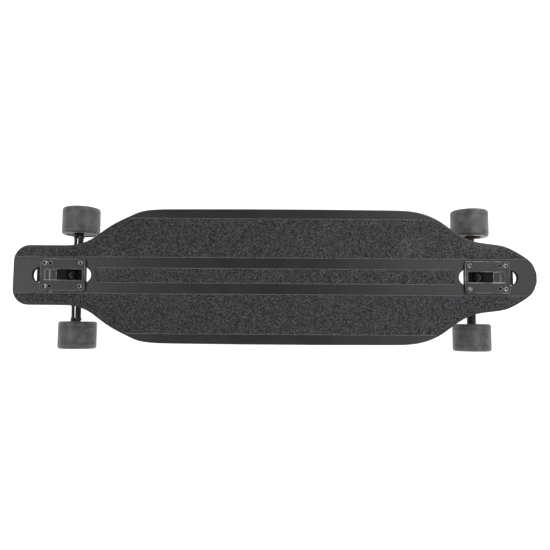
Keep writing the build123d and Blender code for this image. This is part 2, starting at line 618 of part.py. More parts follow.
def make_truck(end, name):
    """One whole truck, without its wheels. The rear hanger is shorter, for the motors' flanges."""
    save(f"{name}_baseplate", at_end(baseplate(), end))
    save(f"{name}_pivot_cup", at_end(pivot_cup(), end))
    barrel, cone = bushings()
    save(f"{name}_boardside_bushing", at_end(barrel, end))
    save(f"{name}_roadside_bushing", at_end(cone, end))
    pin, nut = kingpin()
    save(f"{name}_kingpin", at_end(pin, end))
    save(f"{name}_kingpin_hardware", *[at_end(piece, end) for piece in (nut, *cup_washers())])
    save(f"{name}_truck_bolts", *[at_end(b, end) for b in truck_bolts()])
    if end > 0:
        bar_end, radius = BEARING_INNER - WASHER - AXIAL_PLAY, FRONT_BAR_END_RADIUS
        shaft, pieces = axle_pieces(WHEEL_OUTER - AXLE_END_INSET, bar_end)
    else:
        bar_end, radius = WHEEL_INNER + FLANGE_START, REAR_BAR_END_RADIUS
        shaft, pieces = axle_pieces(WHEEL_OUTER - REAR_AXLE_END_INSET, bar_end + FLANGE)
    save(f"{name}_hanger", at_end(hanger(bar_end, radius), end))
    save(f"{name}_axle", at_end(shaft, end))
    save(f"{name}_axle_hardware", *[at_end(piece, end) for piece in pieces])


# ---------------------------------------------------------------- wheels
def tyre(inner_radius):
    """Urethane tyre with rounded lips, bonded round a core of the given radius."""
    outer = WHEEL_DIAMETER / 2
    face = Plane.XZ * Pos((outer + inner_radius) / 2, WHEEL_MIDDLE) * Rectangle(
        outer - inner_radius, WHEEL_WIDTH
    )
    band = revolve(face, Axis.Z)
    lips = band.edges().filter_by(GeomType.CIRCLE).filter_by(lambda e: e.radius > outer - 0.1)
    return fillet(lips, min(WHEEL_LIP, (outer - inner_radius) * 0.8))


def front_core():
    """Spoked plastic core with a seat for a bearing at each end."""
    start = WHEEL_MIDDLE - CORE_WIDTH / 2
    core = ring(CORE_RADIUS, CORE_RADIUS - 3.0, start, CORE_WIDTH)
    core += ring(BEARING_RADIUS + 3.0, CORE_SHOULDER, BEARING_INNER, BEARING_SPAN)
    core -= ring(BEARING_RADIUS + PRESS_GAP, 0.1, BEARING_INNER, BEARING_WIDTH)
    core -= ring(BEARING_RADIUS + PRESS_GAP, 0.1, BEARING_OUTER - BEARING_WIDTH, BEARING_WIDTH)
    web = ring(CORE_RADIUS - 2.0, BEARING_RADIUS + 2.0, WHEEL_MIDDLE - CORE_WEB / 2, CORE_WEB)
    spoke = block(BEARING_RADIUS + 1.5, CORE_RADIUS - 1.5, -1.5, 1.5, BEARING_INNER, BEARING_OUTER)
    core += web
    for i in range(CORE_SPOKES):
        core += Rot(0, 0, i * 360 / CORE_SPOKES) * spoke
    return core


def bearing(start):
    """One sealed ball bearing, with a shallow groove between its races."""
    body = ring(BEARING_RADIUS, AXLE_RADIUS + AXLE_FIT, start, BEARING_WIDTH)
    for face in (start, start + BEARING_WIDTH - 0.4):
        body -= ring(BEARING_RADIUS - 2.0, AXLE_RADIUS + 2.2, face, 0.4)
    return body


def make_front_wheel(side, name):
    """One free-rolling front wheel."""
    way = truck_side(1, side)
    save(f"{name}_tyre", at_end(on_axle(tyre(CORE_RADIUS + PRESS_GAP), way), 1))
    save(f"{name}_core", at_end(on_axle(front_core(), way), 1))
    pair = [bearing(BEARING_INNER), bearing(BEARING_OUTER - BEARING_WIDTH)]
    save(f"{name}_bearings", *[at_end(on_axle(b, way), 1) for b in pair])


def rotor_can():
    """The motor's turning can: outer drum, end plate and an inward boss for both bearings."""
    start = WHEEL_INNER + CAN_START
    end = WHEEL_OUTER - CAN_RIM_INSET
    plate = WHEEL_OUTER - END_PLATE_DEPTH
    boss_radius = BEARING_RADIUS + BOSS_WALL
    can = ring(CAN_RADIUS, CAN_RADIUS - CAN_WALL, start, end - start)
    can += ring(CAN_RADIUS - CAN_WALL / 2, BEARING_RADIUS - 2.0, plate - CAN_END, CAN_END)
    can += ring(boss_radius, BEARING_RADIUS - 2.0, BEARING_INNER, BEARING_SPAN)
    can += ring(CAN_RADIUS - CAN_WALL / 2, CAN_RADIUS - CAN_WALL - 2.0, end - HUB_CAP - 2.0, 2.0)
    for first in (BEARING_INNER, BEARING_OUTER - BEARING_WIDTH):
        can -= ring(BEARING_RADIUS + PRESS_GAP, 0.1, first, BEARING_WIDTH)
    return can


def magnets():
    """The curved magnets on the inside of the can."""
    outer = CAN_RADIUS - CAN_WALL - PRESS_GAP
    start = stator_start()
    angle = 360 / MAGNETS
    band = ring(outer, outer - MAGNET, start, STATOR_LENGTH)
    for i in range(MAGNETS):
        cutter = block(0, CAN_RADIUS, -MAGNET_SLIVER / 2, MAGNET_SLIVER / 2, start, start + STATOR_LENGTH)
        band -= Rot(0, 0, i * angle) * cutter
    return band


def stator_start():
    """Where the stator's laminations start, out from the board's middle."""
    room_start = WHEEL_INNER + FLANGE_START + FLANGE
    room_end = WHEEL_OUTER - END_PLATE_DEPTH - CAN_END
    return (room_start + room_end - STATOR_LENGTH) / 2


def stator():
    """The fixed half of a motor: flange and tube on the hanger's end, and the slotted stack on the tube."""
    bore = AXLE_RADIUS + PRESS_GAP
    flange_start = WHEEL_INNER + FLANGE_START
    tube_inner = BEARING_RADIUS + BOSS_WALL + TUBE_GAP
    tube_outer = tube_inner + TUBE_WALL
    tube_end = WHEEL_OUTER - END_PLATE_DEPTH - CAN_END - TUBE_END_GAP
    body = ring(CAN_RADIUS - FLANGE_GAP, bore, flange_start, FLANGE)
    body += ring(tube_outer, tube_inner, flange_start + FLANGE, tube_end - flange_start - FLANGE)
    stack_outer = CAN_RADIUS - CAN_WALL - MAGNET - AIR_GAP
    start = stator_start()
    body += ring(stack_outer, tube_outer - 0.5, start, STATOR_LENGTH)
    for i in range(STATOR_SLOTS):
        slot = block(stack_outer - SLOT_DEPTH, stack_outer + 1, -SLOT_WIDTH / 2, SLOT_WIDTH / 2,
                     start - 1, start + STATOR_LENGTH + 1)
        body -= Rot(0, 0, i * 360 / STATOR_SLOTS) * slot
    return body


def hub_cap():
    """The flat cover in the can's outer rim, with its ring of screws as shallow round heads."""
    end = WHEEL_OUTER - CAN_RIM_INSET
    cap_radius = CAN_RADIUS - CAN_WALL - PRESS_GAP
    cap = rod(cap_radius, end - HUB_CAP, HUB_CAP)
    cap = chamfer(cap.edges().sort_by(Axis.Z)[-1], 0.6)
    for i in range(HUB_CAP_SCREWS):
        spot = Rot(0, 0, i * 360 / HUB_CAP_SCREWS) * Pos(cap_radius - 4.0, 0, 0)
        cap += spot * rod(HUB_CAP_SCREW_RADIUS, end, 0.6)
    return cap


def make_rear_wheel(side, name):
    """One driven rear wheel: a hub motor with a urethane sleeve."""
    way = truck_side(-1, side)
    save(f"{name}_tyre", at_end(on_axle(tyre(CAN_RADIUS + PRESS_GAP), way), -1))
    save(f"{name}_rotor_can", at_end(on_axle(rotor_can(), way), -1))
    save(f"{name}_magnets", at_end(on_axle(magnets(), way), -1))
    save(f"{name}_hub_cap", at_end(on_axle(hub_cap(), way), -1))
    pair = [bearing(BEARING_INNER), bearing(BEARING_OUTER - BEARING_WIDTH)]
    save(f"{name}_bearings", *[at_end(on_axle(b, way), -1) for b in pair])
    save(f"{name}_stator", at_end(on_axle(stator(), way), -1))


# ---------------------------------------------------------------- motor cables
def cable_route(way):
    """The points that a motor cable follows, from the motor's flange to the battery box's gland."""
    gland = BOX_LENGTH / 2 + BOX_FLANGE + GLAND_LENGTH - TRUCK_CENTRES / 2
    beside = AXLE_HEIGHT + CABLE_RISE
    return [Vector(x, way * y, z) for x, y, z in [
        (CABLE_X, WHEEL_INNER + FLANGE_START, beside),
        (CABLE_X, 62, beside),
        (CABLE_X - 0.2, 45, beside + 4.5),
        (-6, 36, 53),
        (-26, 33, 61),
        (-58, GLAND_SPREAD - 1, 67),
        (-92, GLAND_SPREAD, gland_height() - 1),
        (gland, GLAND_SPREAD, gland_height()),
    ]]


def gland_height():
    """Height of the cable glands in the battery box's rear wall."""
    return DECK_BOTTOM - BOX_FLANGE_THICKNESS - GASKET - GLAND_RADIUS - 3.0


def motor_cable(way):
    """One three-phase motor cable, as straight runs joined by tangent arcs."""
    points = cable_route(way)
    radii = []
    for before, here, after in zip(points, points[1:], points[2:]):
        turn = (here - before).get_angle(after - here)
        shorter = min((here - before).length, (after - here).length)
        radii.append(0.45 * shorter / tan(radians(turn / 2)))
    path = FilletPolyline(*points, radius=radii)
    start = Plane(origin=path @ 0, z_dir=path % 0)
    cable = sweep(start * Circle(CABLE_RADIUS), path=path)
    expected = pi * CABLE_RADIUS**2 * path.length
    print("cable radii", [round(r, 1) for r in radii], "volume ratio", round(cable.volume / expected, 4))
    return cable


def cable_clips():
    """A clip round each motor cable, hooked over the hanger's arm."""
    clips = []
    arm = REAR_BAR_END_RADIUS + CLIP_FIT
    cable = CABLE_RADIUS + CLIP_FIT
    half = CLIP_WIDTH / 2
    for way in (-1, 1):
        beside = Pos(CABLE_X, way * CLIP_SPOT, AXLE_HEIGHT + CABLE_RISE) * Rot(90, 0, 0)
        on_arm = Pos(-AXLE_SETBACK, way * CLIP_SPOT, AXLE_HEIGHT) * Rot(90, 0, 0)
        clip = on_arm * rod(arm + CLIP_WALL, -half, CLIP_WIDTH)
        clip += beside * rod(cable + CLIP_WALL, -half, CLIP_WIDTH)
        link = block(-AXLE_SETBACK, CABLE_X, way * CLIP_SPOT - half, way * CLIP_SPOT + half,
                     AXLE_HEIGHT, AXLE_HEIGHT + CABLE_RISE)
        clip = clip + link - on_arm * rod(arm, -CLIP_WIDTH, 2 * CLIP_WIDTH)
        clips.append(clip - beside * rod(cable, -CLIP_WIDTH, 2 * CLIP_WIDTH))
    return clips


def cable_glands():
    """The two round glands in the battery box's rear wall."""
    start = BOX_LENGTH / 2 - BOX_WALL
    glands = []
    for way in (-1, 1):
        body = ring(GLAND_RADIUS, CABLE_RADIUS + CLIP_FIT, 0, BOX_FLANGE + BOX_WALL + GLAND_LENGTH)
        glands.append(Pos(-start, way * GLAND_SPREAD, gland_height()) * Rot(0, -90, 0) * body)
    return glands


# ---------------------------------------------------------------- battery box
def make_box():
    """Tray under the deck with everything it holds, and the pieces in its side wall."""
    flange_bottom = DECK_BOTTOM - GASKET - BOX_FLANGE_THICKNESS
    outer = RectangleRounded(BOX_LENGTH, BOX_WIDTH, BOX_CORNER)
    shell = Pos(0, 0, BOX_BOTTOM) * extrude(outer, flange_bottom - BOX_BOTTOM + BOX_FLANGE_THICKNESS)
    shell = fillet(shell.faces().sort_by(Axis.Z)[0].edges(), BOX_EDGE)
    rim = RectangleRounded(BOX_LENGTH + 2 * BOX_FLANGE, BOX_WIDTH + 2 * BOX_FLANGE, BOX_CORNER + BOX_FLANGE)
    shell += Pos(0, 0, flange_bottom) * extrude(rim, BOX_FLANGE_THICKNESS)
    inner = RectangleRounded(BOX_LENGTH - 2 * BOX_WALL, BOX_WIDTH - 2 * BOX_WALL, BOX_CORNER - BOX_WALL)
    hollow = Pos(0, 0, BOX_FLOOR) * extrude(inner, BOX_HEIGHT)
    hollow = fillet(hollow.faces().sort_by(Axis.Z)[0].edges(), BOX_EDGE - BOX_WALL)
    shell -= hollow
    seal = Pos(0, 0, DECK_BOTTOM - GASKET) * extrude(rim - inner, GASKET)
    for x, y in box_screw_places():
        pilot = Pos(x, y, 0) * rod(SCREW_RADIUS + SCREW_CLEARANCE, flange_bottom - 1, BOX_HEIGHT)
        shell -= pilot
        seal -= pilot
    for way in (-1, 1):
        hole = rod(GLAND_RADIUS + PRESS_GAP, -1, BOX_FLANGE + BOX_WALL)
        shell -= Pos(BOX_WALL - BOX_LENGTH / 2, way * GLAND_SPREAD, gland_height()) * Rot(0, -90, 0) * hole
    panel_z = DECK_BOTTOM - PANEL_DEPTH
    wall = Pos(0, -BOX_WIDTH / 2, panel_z) * Rot(90, 0, 0)
    port_x, button_x, light_x = PANEL_X, PANEL_X + PANEL_STEP, PANEL_X + 2 * PANEL_STEP
    switch_radius = BUTTON_RADIUS + BUTTON_GAP + BUTTON_COLLAR
    shell -= Pos(port_x, 0, 0) * wall * rod(PORT_RADIUS + PRESS_GAP, -2 * BOX_WALL, 4 * BOX_WALL)
    shell -= Pos(button_x, 0, 0) * wall * rod(switch_radius + PRESS_GAP, -2 * BOX_WALL, 4 * BOX_WALL)
    shell -= block(light_x - LIGHT_LENGTH / 2, light_x + LIGHT_LENGTH / 2, -BOX_WIDTH / 2 - 1,
                   BOX_WALL + 1 - BOX_WIDTH / 2, panel_z - LIGHT_HEIGHT / 2, panel_z + LIGHT_HEIGHT / 2)
    save("box_shell", shell)
    save("box_gasket", seal)
    make_box_screws(flange_bottom)
    make_panel(wall, port_x, button_x, light_x, panel_z)
    save("battery_wiring", *make_battery(), *make_controller())


def make_box_screws(flange_bottom):
    """Pan-head screws up through the flange into the deck."""
    screws = []
    for x, y in box_screw_places():
        length = DECK_BOTTOM + SCREW_DEPTH - flange_bottom
        screw = rod(SCREW_RADIUS, flange_bottom, length)
        screw += rod(SCREW_HEAD_RADIUS, flange_bottom - SCREW_HEAD, SCREW_HEAD)
        screw -= hexagon(SCREW_RADIUS * 1.5, flange_bottom - SCREW_HEAD, SCREW_HEAD / 2)
        screws.append(Pos(x, y, 0) * screw)
    save("box_screws", *screws)


def make_panel(wall, port_x, button_x, light_x, panel_z):
    """Charge port with its hinged cap, power switch with its button, and the status light."""
    port = rod(PORT_RADIUS, -PORT_LENGTH, PORT_LENGTH + PORT_RIM) - rod(PORT_BORE, 2 - PORT_LENGTH, PORT_LENGTH)
    rim_radius = PORT_RADIUS + CAP_EAR
    port += ring(rim_radius, PORT_RADIUS - 0.5, 0, PORT_RIM)
    pin_y = rim_radius + CAP_PIN_RADIUS + 1.0
    pin_z = PORT_RIM + CAP_GAP + CAP_THICKNESS / 2
    for s in (-1, 1):
        port += block(s * 4.5 - 1.2, s * 4.5 + 1.2, rim_radius - 2.5, pin_y + 2.4, 0, PORT_RIM)
        port += block(s * 4.5 - 1.2, s * 4.5 + 1.2, pin_y - 2.0, pin_y + 2.4, 0, pin_z + 2.0)
    lie = Pos(0, pin_y, pin_z) * Rot(0, 90, 0)
    port -= lie * rod(CAP_PIN_RADIUS + PRESS_GAP, -8, 16)
    pin = lie * rod(CAP_PIN_RADIUS, -5.7, 11.4)
    on_wall = Pos(port_x, 0, 0) * wall * Rot(0, 0, 90)  # turned, so that the cap swings back along the board
    save("charge_port", on_wall * port, on_wall * pin)
    cap = Pos(0, 0, PORT_RIM + CAP_GAP) * rod(rim_radius - 0.6, 0, CAP_THICKNESS)
    cap += block(-2.8, 2.8, rim_radius - 3, pin_y, PORT_RIM + CAP_GAP, PORT_RIM + CAP_GAP + CAP_THICKNESS)
    cap += lie * rod(CAP_PIN_RADIUS + 1.1, -2.8, 5.6)
    cap += block(-3.5, 3.5, -rim_radius - 1.6, 3 - rim_radius, PORT_RIM + CAP_GAP,
                 PORT_RIM + CAP_GAP + CAP_THICKNESS)
    cap -= lie * rod(CAP_PIN_RADIUS + CAP_PIN_CLEARANCE, -4, 8)
    save("charge_cap", on_wall * cap)

    stem_hole = BUTTON_STEM_RADIUS + BUTTON_GAP
    body = ring(BUTTON_RADIUS + BUTTON_GAP + BUTTON_COLLAR, BUTTON_RADIUS + BUTTON_GAP, -BOX_WALL - 3, BOX_WALL + 4)
    body += ring(BUTTON_RADIUS + BUTTON_GAP + 1, stem_hole, -BOX_WALL - 6, 3)
    save("power_switch", Pos(button_x, 0, 0) * wall * body)
    travel = 1.2
    top = 1.0 + BUTTON_PROUD
    button = rod(BUTTON_RADIUS, travel - BOX_WALL - 2.7, top + BOX_WALL + 2.7 - travel)
    button += rod(BUTTON_STEM_RADIUS, -BOX_WALL - BUTTON_STEM, BUTTON_STEM)
    button = fillet(button.edges().sort_by(Axis.Z)[-1], 0.8)
    save("power_button", Pos(button_x, 0, 0) * wall * button)

    lens = block(light_x - LIGHT_LENGTH / 2 + 0.1, light_x + LIGHT_LENGTH / 2 - 0.1,
                 -BOX_WIDTH / 2 - LIGHT_PROUD, BOX_WALL + 1 - BOX_WIDTH / 2,
                 panel_z - LIGHT_HEIGHT / 2 + 0.1, panel_z + LIGHT_HEIGHT / 2 - 0.1)
    save("status_light", lens)


def make_battery():
    """Two rows of round cells in a cradle, with the balance board beside them. Returns their nickel straps."""
    pitch = 2 * CELL_RADIUS + CELL_GAP
    length = pitch * CELL_COLUMNS
    width = CELL_ROWS * CELL_LENGTH + (CELL_ROWS + 1) * CELL_END_GAP
    floor = BOX_FLOOR + 0.1
    middle = floor + TRAY_FLOOR + CELL_RADIUS
    x0 = BATTERY_MIDDLE - length / 2 - TRAY_EDGE
    x1 = BATTERY_MIDDLE + length / 2 + TRAY_EDGE
    tray = block(x0, x1, -width / 2, width / 2, floor, middle - CELL_RADIUS * 0.2)
    cells, straps = [], []
    for i in range(CELL_COLUMNS):
        x = BATTERY_MIDDLE + (i - (CELL_COLUMNS - 1) / 2) * pitch
        tray -= Pos(x, 0, middle) * Rot(90, 0, 0) * rod(CELL_RADIUS + SEAT_GAP, -width, 2 * width)
        for j in range(CELL_ROWS):
            y = (j - (CELL_ROWS - 1) / 2) * (CELL_LENGTH + CELL_END_GAP)
            cell = chamfer(rod(CELL_RADIUS, -CELL_LENGTH / 2, CELL_LENGTH).edges(), 0.5)
            cells.append(Pos(x, y, middle) * Rot(90, 0, 0) * cell)
            if i % 2 == 0:
                for end in (-1, 1):
                    near = y + end * CELL_LENGTH / 2
                    far = near + end * STRAP_THICKNESS
                    low, high = sorted((near, far))
                    straps.append(block(x - 5, x + pitch + 5, low, high, middle + 1, middle + 6))
    save("battery_tray", tray)
    save("battery_cells", *cells)
    board_x = x1 + 4
    board = block(board_x, board_x + BMS_LENGTH, -BMS_WIDTH / 2, BMS_WIDTH / 2, floor, floor + 2)
    for i in range(6):
        y = (i - 2.5) * 13
        board += block(board_x + 4, board_x + 12, y - 4, y + 4, floor + 1.5, floor + 5)
    save("balance_board", board)
    return straps


def make_controller():
    """Motor controller: finned heat sink, circuit board and capacitors. Returns its two battery leads."""
    floor = BOX_FLOOR + 0.1
    x0 = CONTROLLER_MIDDLE - CONTROLLER_LENGTH / 2
    x1 = CONTROLLER_MIDDLE + CONTROLLER_LENGTH / 2
    half = CONTROLLER_WIDTH / 2
    sink = block(x0, x1, -half, half, floor + SINK_HEIGHT - SINK_BASE, floor + SINK_HEIGHT)
    step = (CONTROLLER_WIDTH - FIN_THICKNESS) / (SINK_FINS - 1)
    for i in range(SINK_FINS):
        y = -half + i * step
        sink += block(x0, x1, y, y + FIN_THICKNESS, floor, floor + SINK_HEIGHT - SINK_BASE)
    save("heat_sink", sink)
    top = floor + SINK_HEIGHT + CONTROLLER_THICKNESS
    board = block(x0 + 2, x1 - 2, 2 - half, half - 2, floor + SINK_HEIGHT, top)
    for i in range(6):
        x = CONTROLLER_MIDDLE + (i - 2.5) * 13
        for way in (-1, 1):
            board += block(x - 4.5, x + 4.5, way * 26 - 5, way * 26 + 5, top - 0.5, top + 4.5)
    cans = []
    for i in range(4):
        x = x0 + 14 + i * 2.6 * CAPACITOR_RADIUS
        cans.append(Pos(x, 0, top + CAPACITOR_RADIUS) * Rot(90, 0, 0)
                    * rod(CAPACITOR_RADIUS, -CAPACITOR_HEIGHT / 2, CAPACITOR_HEIGHT))
    save("controller_board", board, *cans)
    start = x1 - 8
    first_cell = BATTERY_MIDDLE - (CELL_COLUMNS - 1) * (CELL_RADIUS + CELL_GAP / 2)
    lead = Rot(0, 90, 0) * rod(LEAD_RADIUS, start, first_cell - CELL_RADIUS - SEAT_GAP - start)
    return [Pos(0, way * 6, top + LEAD_RADIUS) * lead for way in (-1, 1)]


make_deck()
for truck_end, truck_name in ((1, "front"), (-1, "rear")):
    make_truck(truck_end, truck_name)
for board_side, side_name in ((1, "left"), (-1, "right")):
    make_front_wheel(board_side, f"front_{side_name}")
    make_rear_wheel(board_side, f"rear_{side_name}")
    save(f"{side_name}_motor_cable", at_end(motor_cable(truck_side(-1, board_side)), -1))
save("cable_clips", *[at_end(c, -1) for c in cable_clips()])
save("cable_glands", *cable_glands())
make_box()
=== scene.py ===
"""Looks of an electric longboard skateboard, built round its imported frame.

Everything is in metres in the frame's own axes: +X towards the rounded nose, +Y towards the rider's
left and +Z up, with the origin on the ground under the middle of the deck.
"""

from __future__ import annotations

import logging
import math
import sys
from dataclasses import dataclass, field, replace
from enum import Enum
from typing import Callable, Sequence

import bpy
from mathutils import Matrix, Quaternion, Vector


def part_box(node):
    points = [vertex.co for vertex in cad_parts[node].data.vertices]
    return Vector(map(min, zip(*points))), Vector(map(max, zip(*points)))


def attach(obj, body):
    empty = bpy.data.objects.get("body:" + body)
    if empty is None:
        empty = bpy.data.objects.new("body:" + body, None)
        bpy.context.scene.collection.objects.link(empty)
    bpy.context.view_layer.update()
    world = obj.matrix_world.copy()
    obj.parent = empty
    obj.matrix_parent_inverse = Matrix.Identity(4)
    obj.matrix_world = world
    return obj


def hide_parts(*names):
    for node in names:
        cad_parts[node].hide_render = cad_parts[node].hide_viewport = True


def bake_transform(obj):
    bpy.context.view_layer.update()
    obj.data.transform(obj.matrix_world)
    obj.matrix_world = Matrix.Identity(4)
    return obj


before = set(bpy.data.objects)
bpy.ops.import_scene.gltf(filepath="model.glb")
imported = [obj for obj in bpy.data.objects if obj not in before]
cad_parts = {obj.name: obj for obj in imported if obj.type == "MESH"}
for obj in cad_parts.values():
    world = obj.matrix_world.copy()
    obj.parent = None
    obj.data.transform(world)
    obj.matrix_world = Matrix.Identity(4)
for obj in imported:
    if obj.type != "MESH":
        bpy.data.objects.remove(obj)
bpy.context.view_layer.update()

LOG = logging.getLogger("skateboard")
Colour = tuple[float, float, float]
Point = tuple[float, float, float]
Spot = tuple[float, float]
Span = tuple[float, float]
Socket = bpy.types.NodeSocket
Value = float | Colour | Point | Socket

# Near-black colour painted as shade, deep in the baseplate pockets and on the walls of the deck's truck
# slots.
PAINTED_SHADE: Colour = (0.003, 0.003, 0.003)
BORE_CLEARANCE = 0.00002
WELD_DISTANCE = 2e-6
FLAT_ANGLE = 0.5


# ---------------- material graphs
class Graph:
    """The nodes of one material, added one at a time and joined as they are added."""

    def __init__(self, name: str) -> None:
        """Start a material with its principled shader and the object's own coordinates.

        Args:
            name: the material's name.
        """
        self.material = bpy.data.materials.new(name)
        self.material.use_nodes = True
        self.tree = self.material.node_tree
        self.shader = self.tree.nodes["Principled BSDF"]
        self.place = self.tree.nodes.new("ShaderNodeTexCoord").outputs["Object"]

    def feed(self, socket: Socket, value: Value) -> None:
        """Fill one socket.

        Args:
            socket: the socket to fill.
            value: another socket to join it to, or the number, point or colour to set.
        """
        if isinstance(value, bpy.types.NodeSocket):
            self.tree.links.new(value, socket)
        elif socket.type == "RGBA":
            socket.default_value = (*value, 1.0)
        else:
            socket.default_value = value

    def add(self, kind: str, inputs: dict[str | int, Value], **settings: object) -> bpy.types.Node:
        """Add a node.

        Args:
            kind: the node's type, without the prefix that shader nodes share.
            inputs: what goes into its sockets, by name or place.
            settings: the node's own options.

        Returns:
            The new node.
        """
        node = self.tree.nodes.new(f"ShaderNode{kind}")
        for key, value in settings.items():
            setattr(node, key, value)
        for key, value in inputs.items():
            self.feed(node.inputs[key], value)
        return node

    def surface(self, **inputs: Value) -> None:
        """Set sockets of the principled shader.

        Args:
            inputs: their values, under the sockets' names in lower case with underscores.
        """
        for socket in self.shader.inputs:
            key = socket.name.lower().replace(" ", "_")
            if key in inputs:
                self.feed(socket, inputs.pop(key))
        if inputs:
            raise ValueError(f"the shader has no inputs {sorted(inputs)}")

    def math(self, operation: str, first: Value, second: Value = 0.0) -> Socket:
        """Take one arithmetic step.

        Args:
            operation: its name, as the node has it.
            first: what it works on.
            second: the other value, where it takes two.

        Returns:
            The result.
        """
        return self.add("Math", {0: first, 1: second}, operation=operation).outputs[0]

    def times(self, first: Value, *others: Value) -> Value:
        """Multiply values.

        Args:
            first: the first of them.
            others: the rest, taken in order.

        Returns:
            Their product.
        """
        for other in others:
            first = self.math("MULTIPLY", first, other)
        return first

    def mean(self, first: Value, second: Value) -> Socket:
        """Take the mean.

        Args:
            first: one value.
            second: the other.

        Returns:
            Their mean.
        """
        return self.math("MULTIPLY", self.math("ADD", first, second), 0.5)

    def apart(self, first: Value, second: Value) -> Socket:
        """Measure how far two values are apart.

        Args:
            first: one value.
            second: the other.

        Returns:
            The distance, never below 0.
        """
        return self.math("ABSOLUTE", self.math("SUBTRACT", first, second))

    def step(self, value: Value, low: float, high: float) -> Socket:
        """Rise smoothly from 0 to 1.

        Args:
            value: what is followed.
            low: where the rise starts.
            high: where it ends.

        Returns:
            A share from 0 to 1.
        """
        inputs = {"Value": value, "From Min": low, "From Max": high}
        return self.add("MapRange", inputs, interpolation_type="SMOOTHSTEP").outputs[0]

    def fall(self, value: Value, low: float, high: float) -> Socket:
        """Fall smoothly from 1 to 0.

        Args:
            value: what is followed.
            low: where the fall starts.
            high: where it ends.

        Returns:
            A share from 0 to 1.
        """
        return self.math("SUBTRACT", 1.0, self.step(value, low, high))

    def span(self, value: Value, low: float, high: float) -> Socket:
        """Stretch a share over a range.

        Args:
            value: the share, from 0 to 1.
            low: what 0 becomes.
            high: what 1 becomes.

        Returns:
            The stretched value.
        """
        return self.add("MapRange", {"Value": value, "To Min": low, "To Max": high}).outputs[0]

    def moved(self, scale: Point) -> Socket:
        """Scale the object's coordinates.

        Args:
            scale: the factor along each axis; below 1 draws a pattern out.

        Returns:
            The scaled coordinates.
        """
        return self.add("Mapping", {"Vector": self.place, "Scale": scale}).outputs[0]

    def noise(self, scale: float, detail: float = 2.0, rough: float = 0.5,
              place: Value | None = None) -> Socket:
        """Add cloudy noise.

        Args:
            scale: features to the metre.
            detail: how many finer layers it has.
            rough: how strong they are.
            place: other coordinates than the object's.

        Returns:
            The noise, from 0 to 1.
        """
        inputs = {"Vector": self.place if place is None else place, "Scale": scale, "Detail": detail,
                  "Roughness": rough}
        return self.add("TexNoise", inputs).outputs[0]

    def grains(self, scale: float, place: Value | None = None, randomness: float = 1.0) -> bpy.types.Node:
        """Add separate grains.

        Args:
            scale: grains to the metre.
            place: other coordinates than the object's.
            randomness: 0 for a regular grid, 1 for scattered grains.

        Returns:
            The node, which gives a distance from the grain's heart and the grain's own colour.
        """
        inputs = {"Vector": self.place if place is None else place, "Scale": scale,
                  "Randomness": randomness}
        return self.add("TexVoronoi", inputs)

    def axes(self, place: Value | None = None) -> list[Socket]:
        """Take coordinates or a colour apart.

        Args:
            place: what is taken apart, if not the object's own coordinates.

        Returns:
            The three numbers.
        """
        return list(self.add("SeparateXYZ", {0: self.place if place is None else place}).outputs)

    def mix(self, share: Value, first: Value, second: Value) -> Socket:
        """Blend two colours.

        Args:
            share: how much of the second shows.
            first: the colour underneath.
            second: the colour on top.

        Returns:
            The blend.
        """
        return self.add("Mix", {0: share, 6: first, 7: second}, data_type="RGBA").outputs[2]

    def bump(self, height: Value, distance: float, under: Value | None = None) -> Socket:
        """Add relief.

        Args:
            height: the relief's shape, from 0 to 1.
            distance: its depth in metres.
            under: another relief that it lies on.

        Returns:
            The surface's direction.
        """
        inputs: dict[str | int, Value] = {"Height": height, "Distance": distance, "Strength": 1.0}
        if under is not None:
            inputs["Normal"] = under
        return self.add("Bump", inputs).outputs[0]


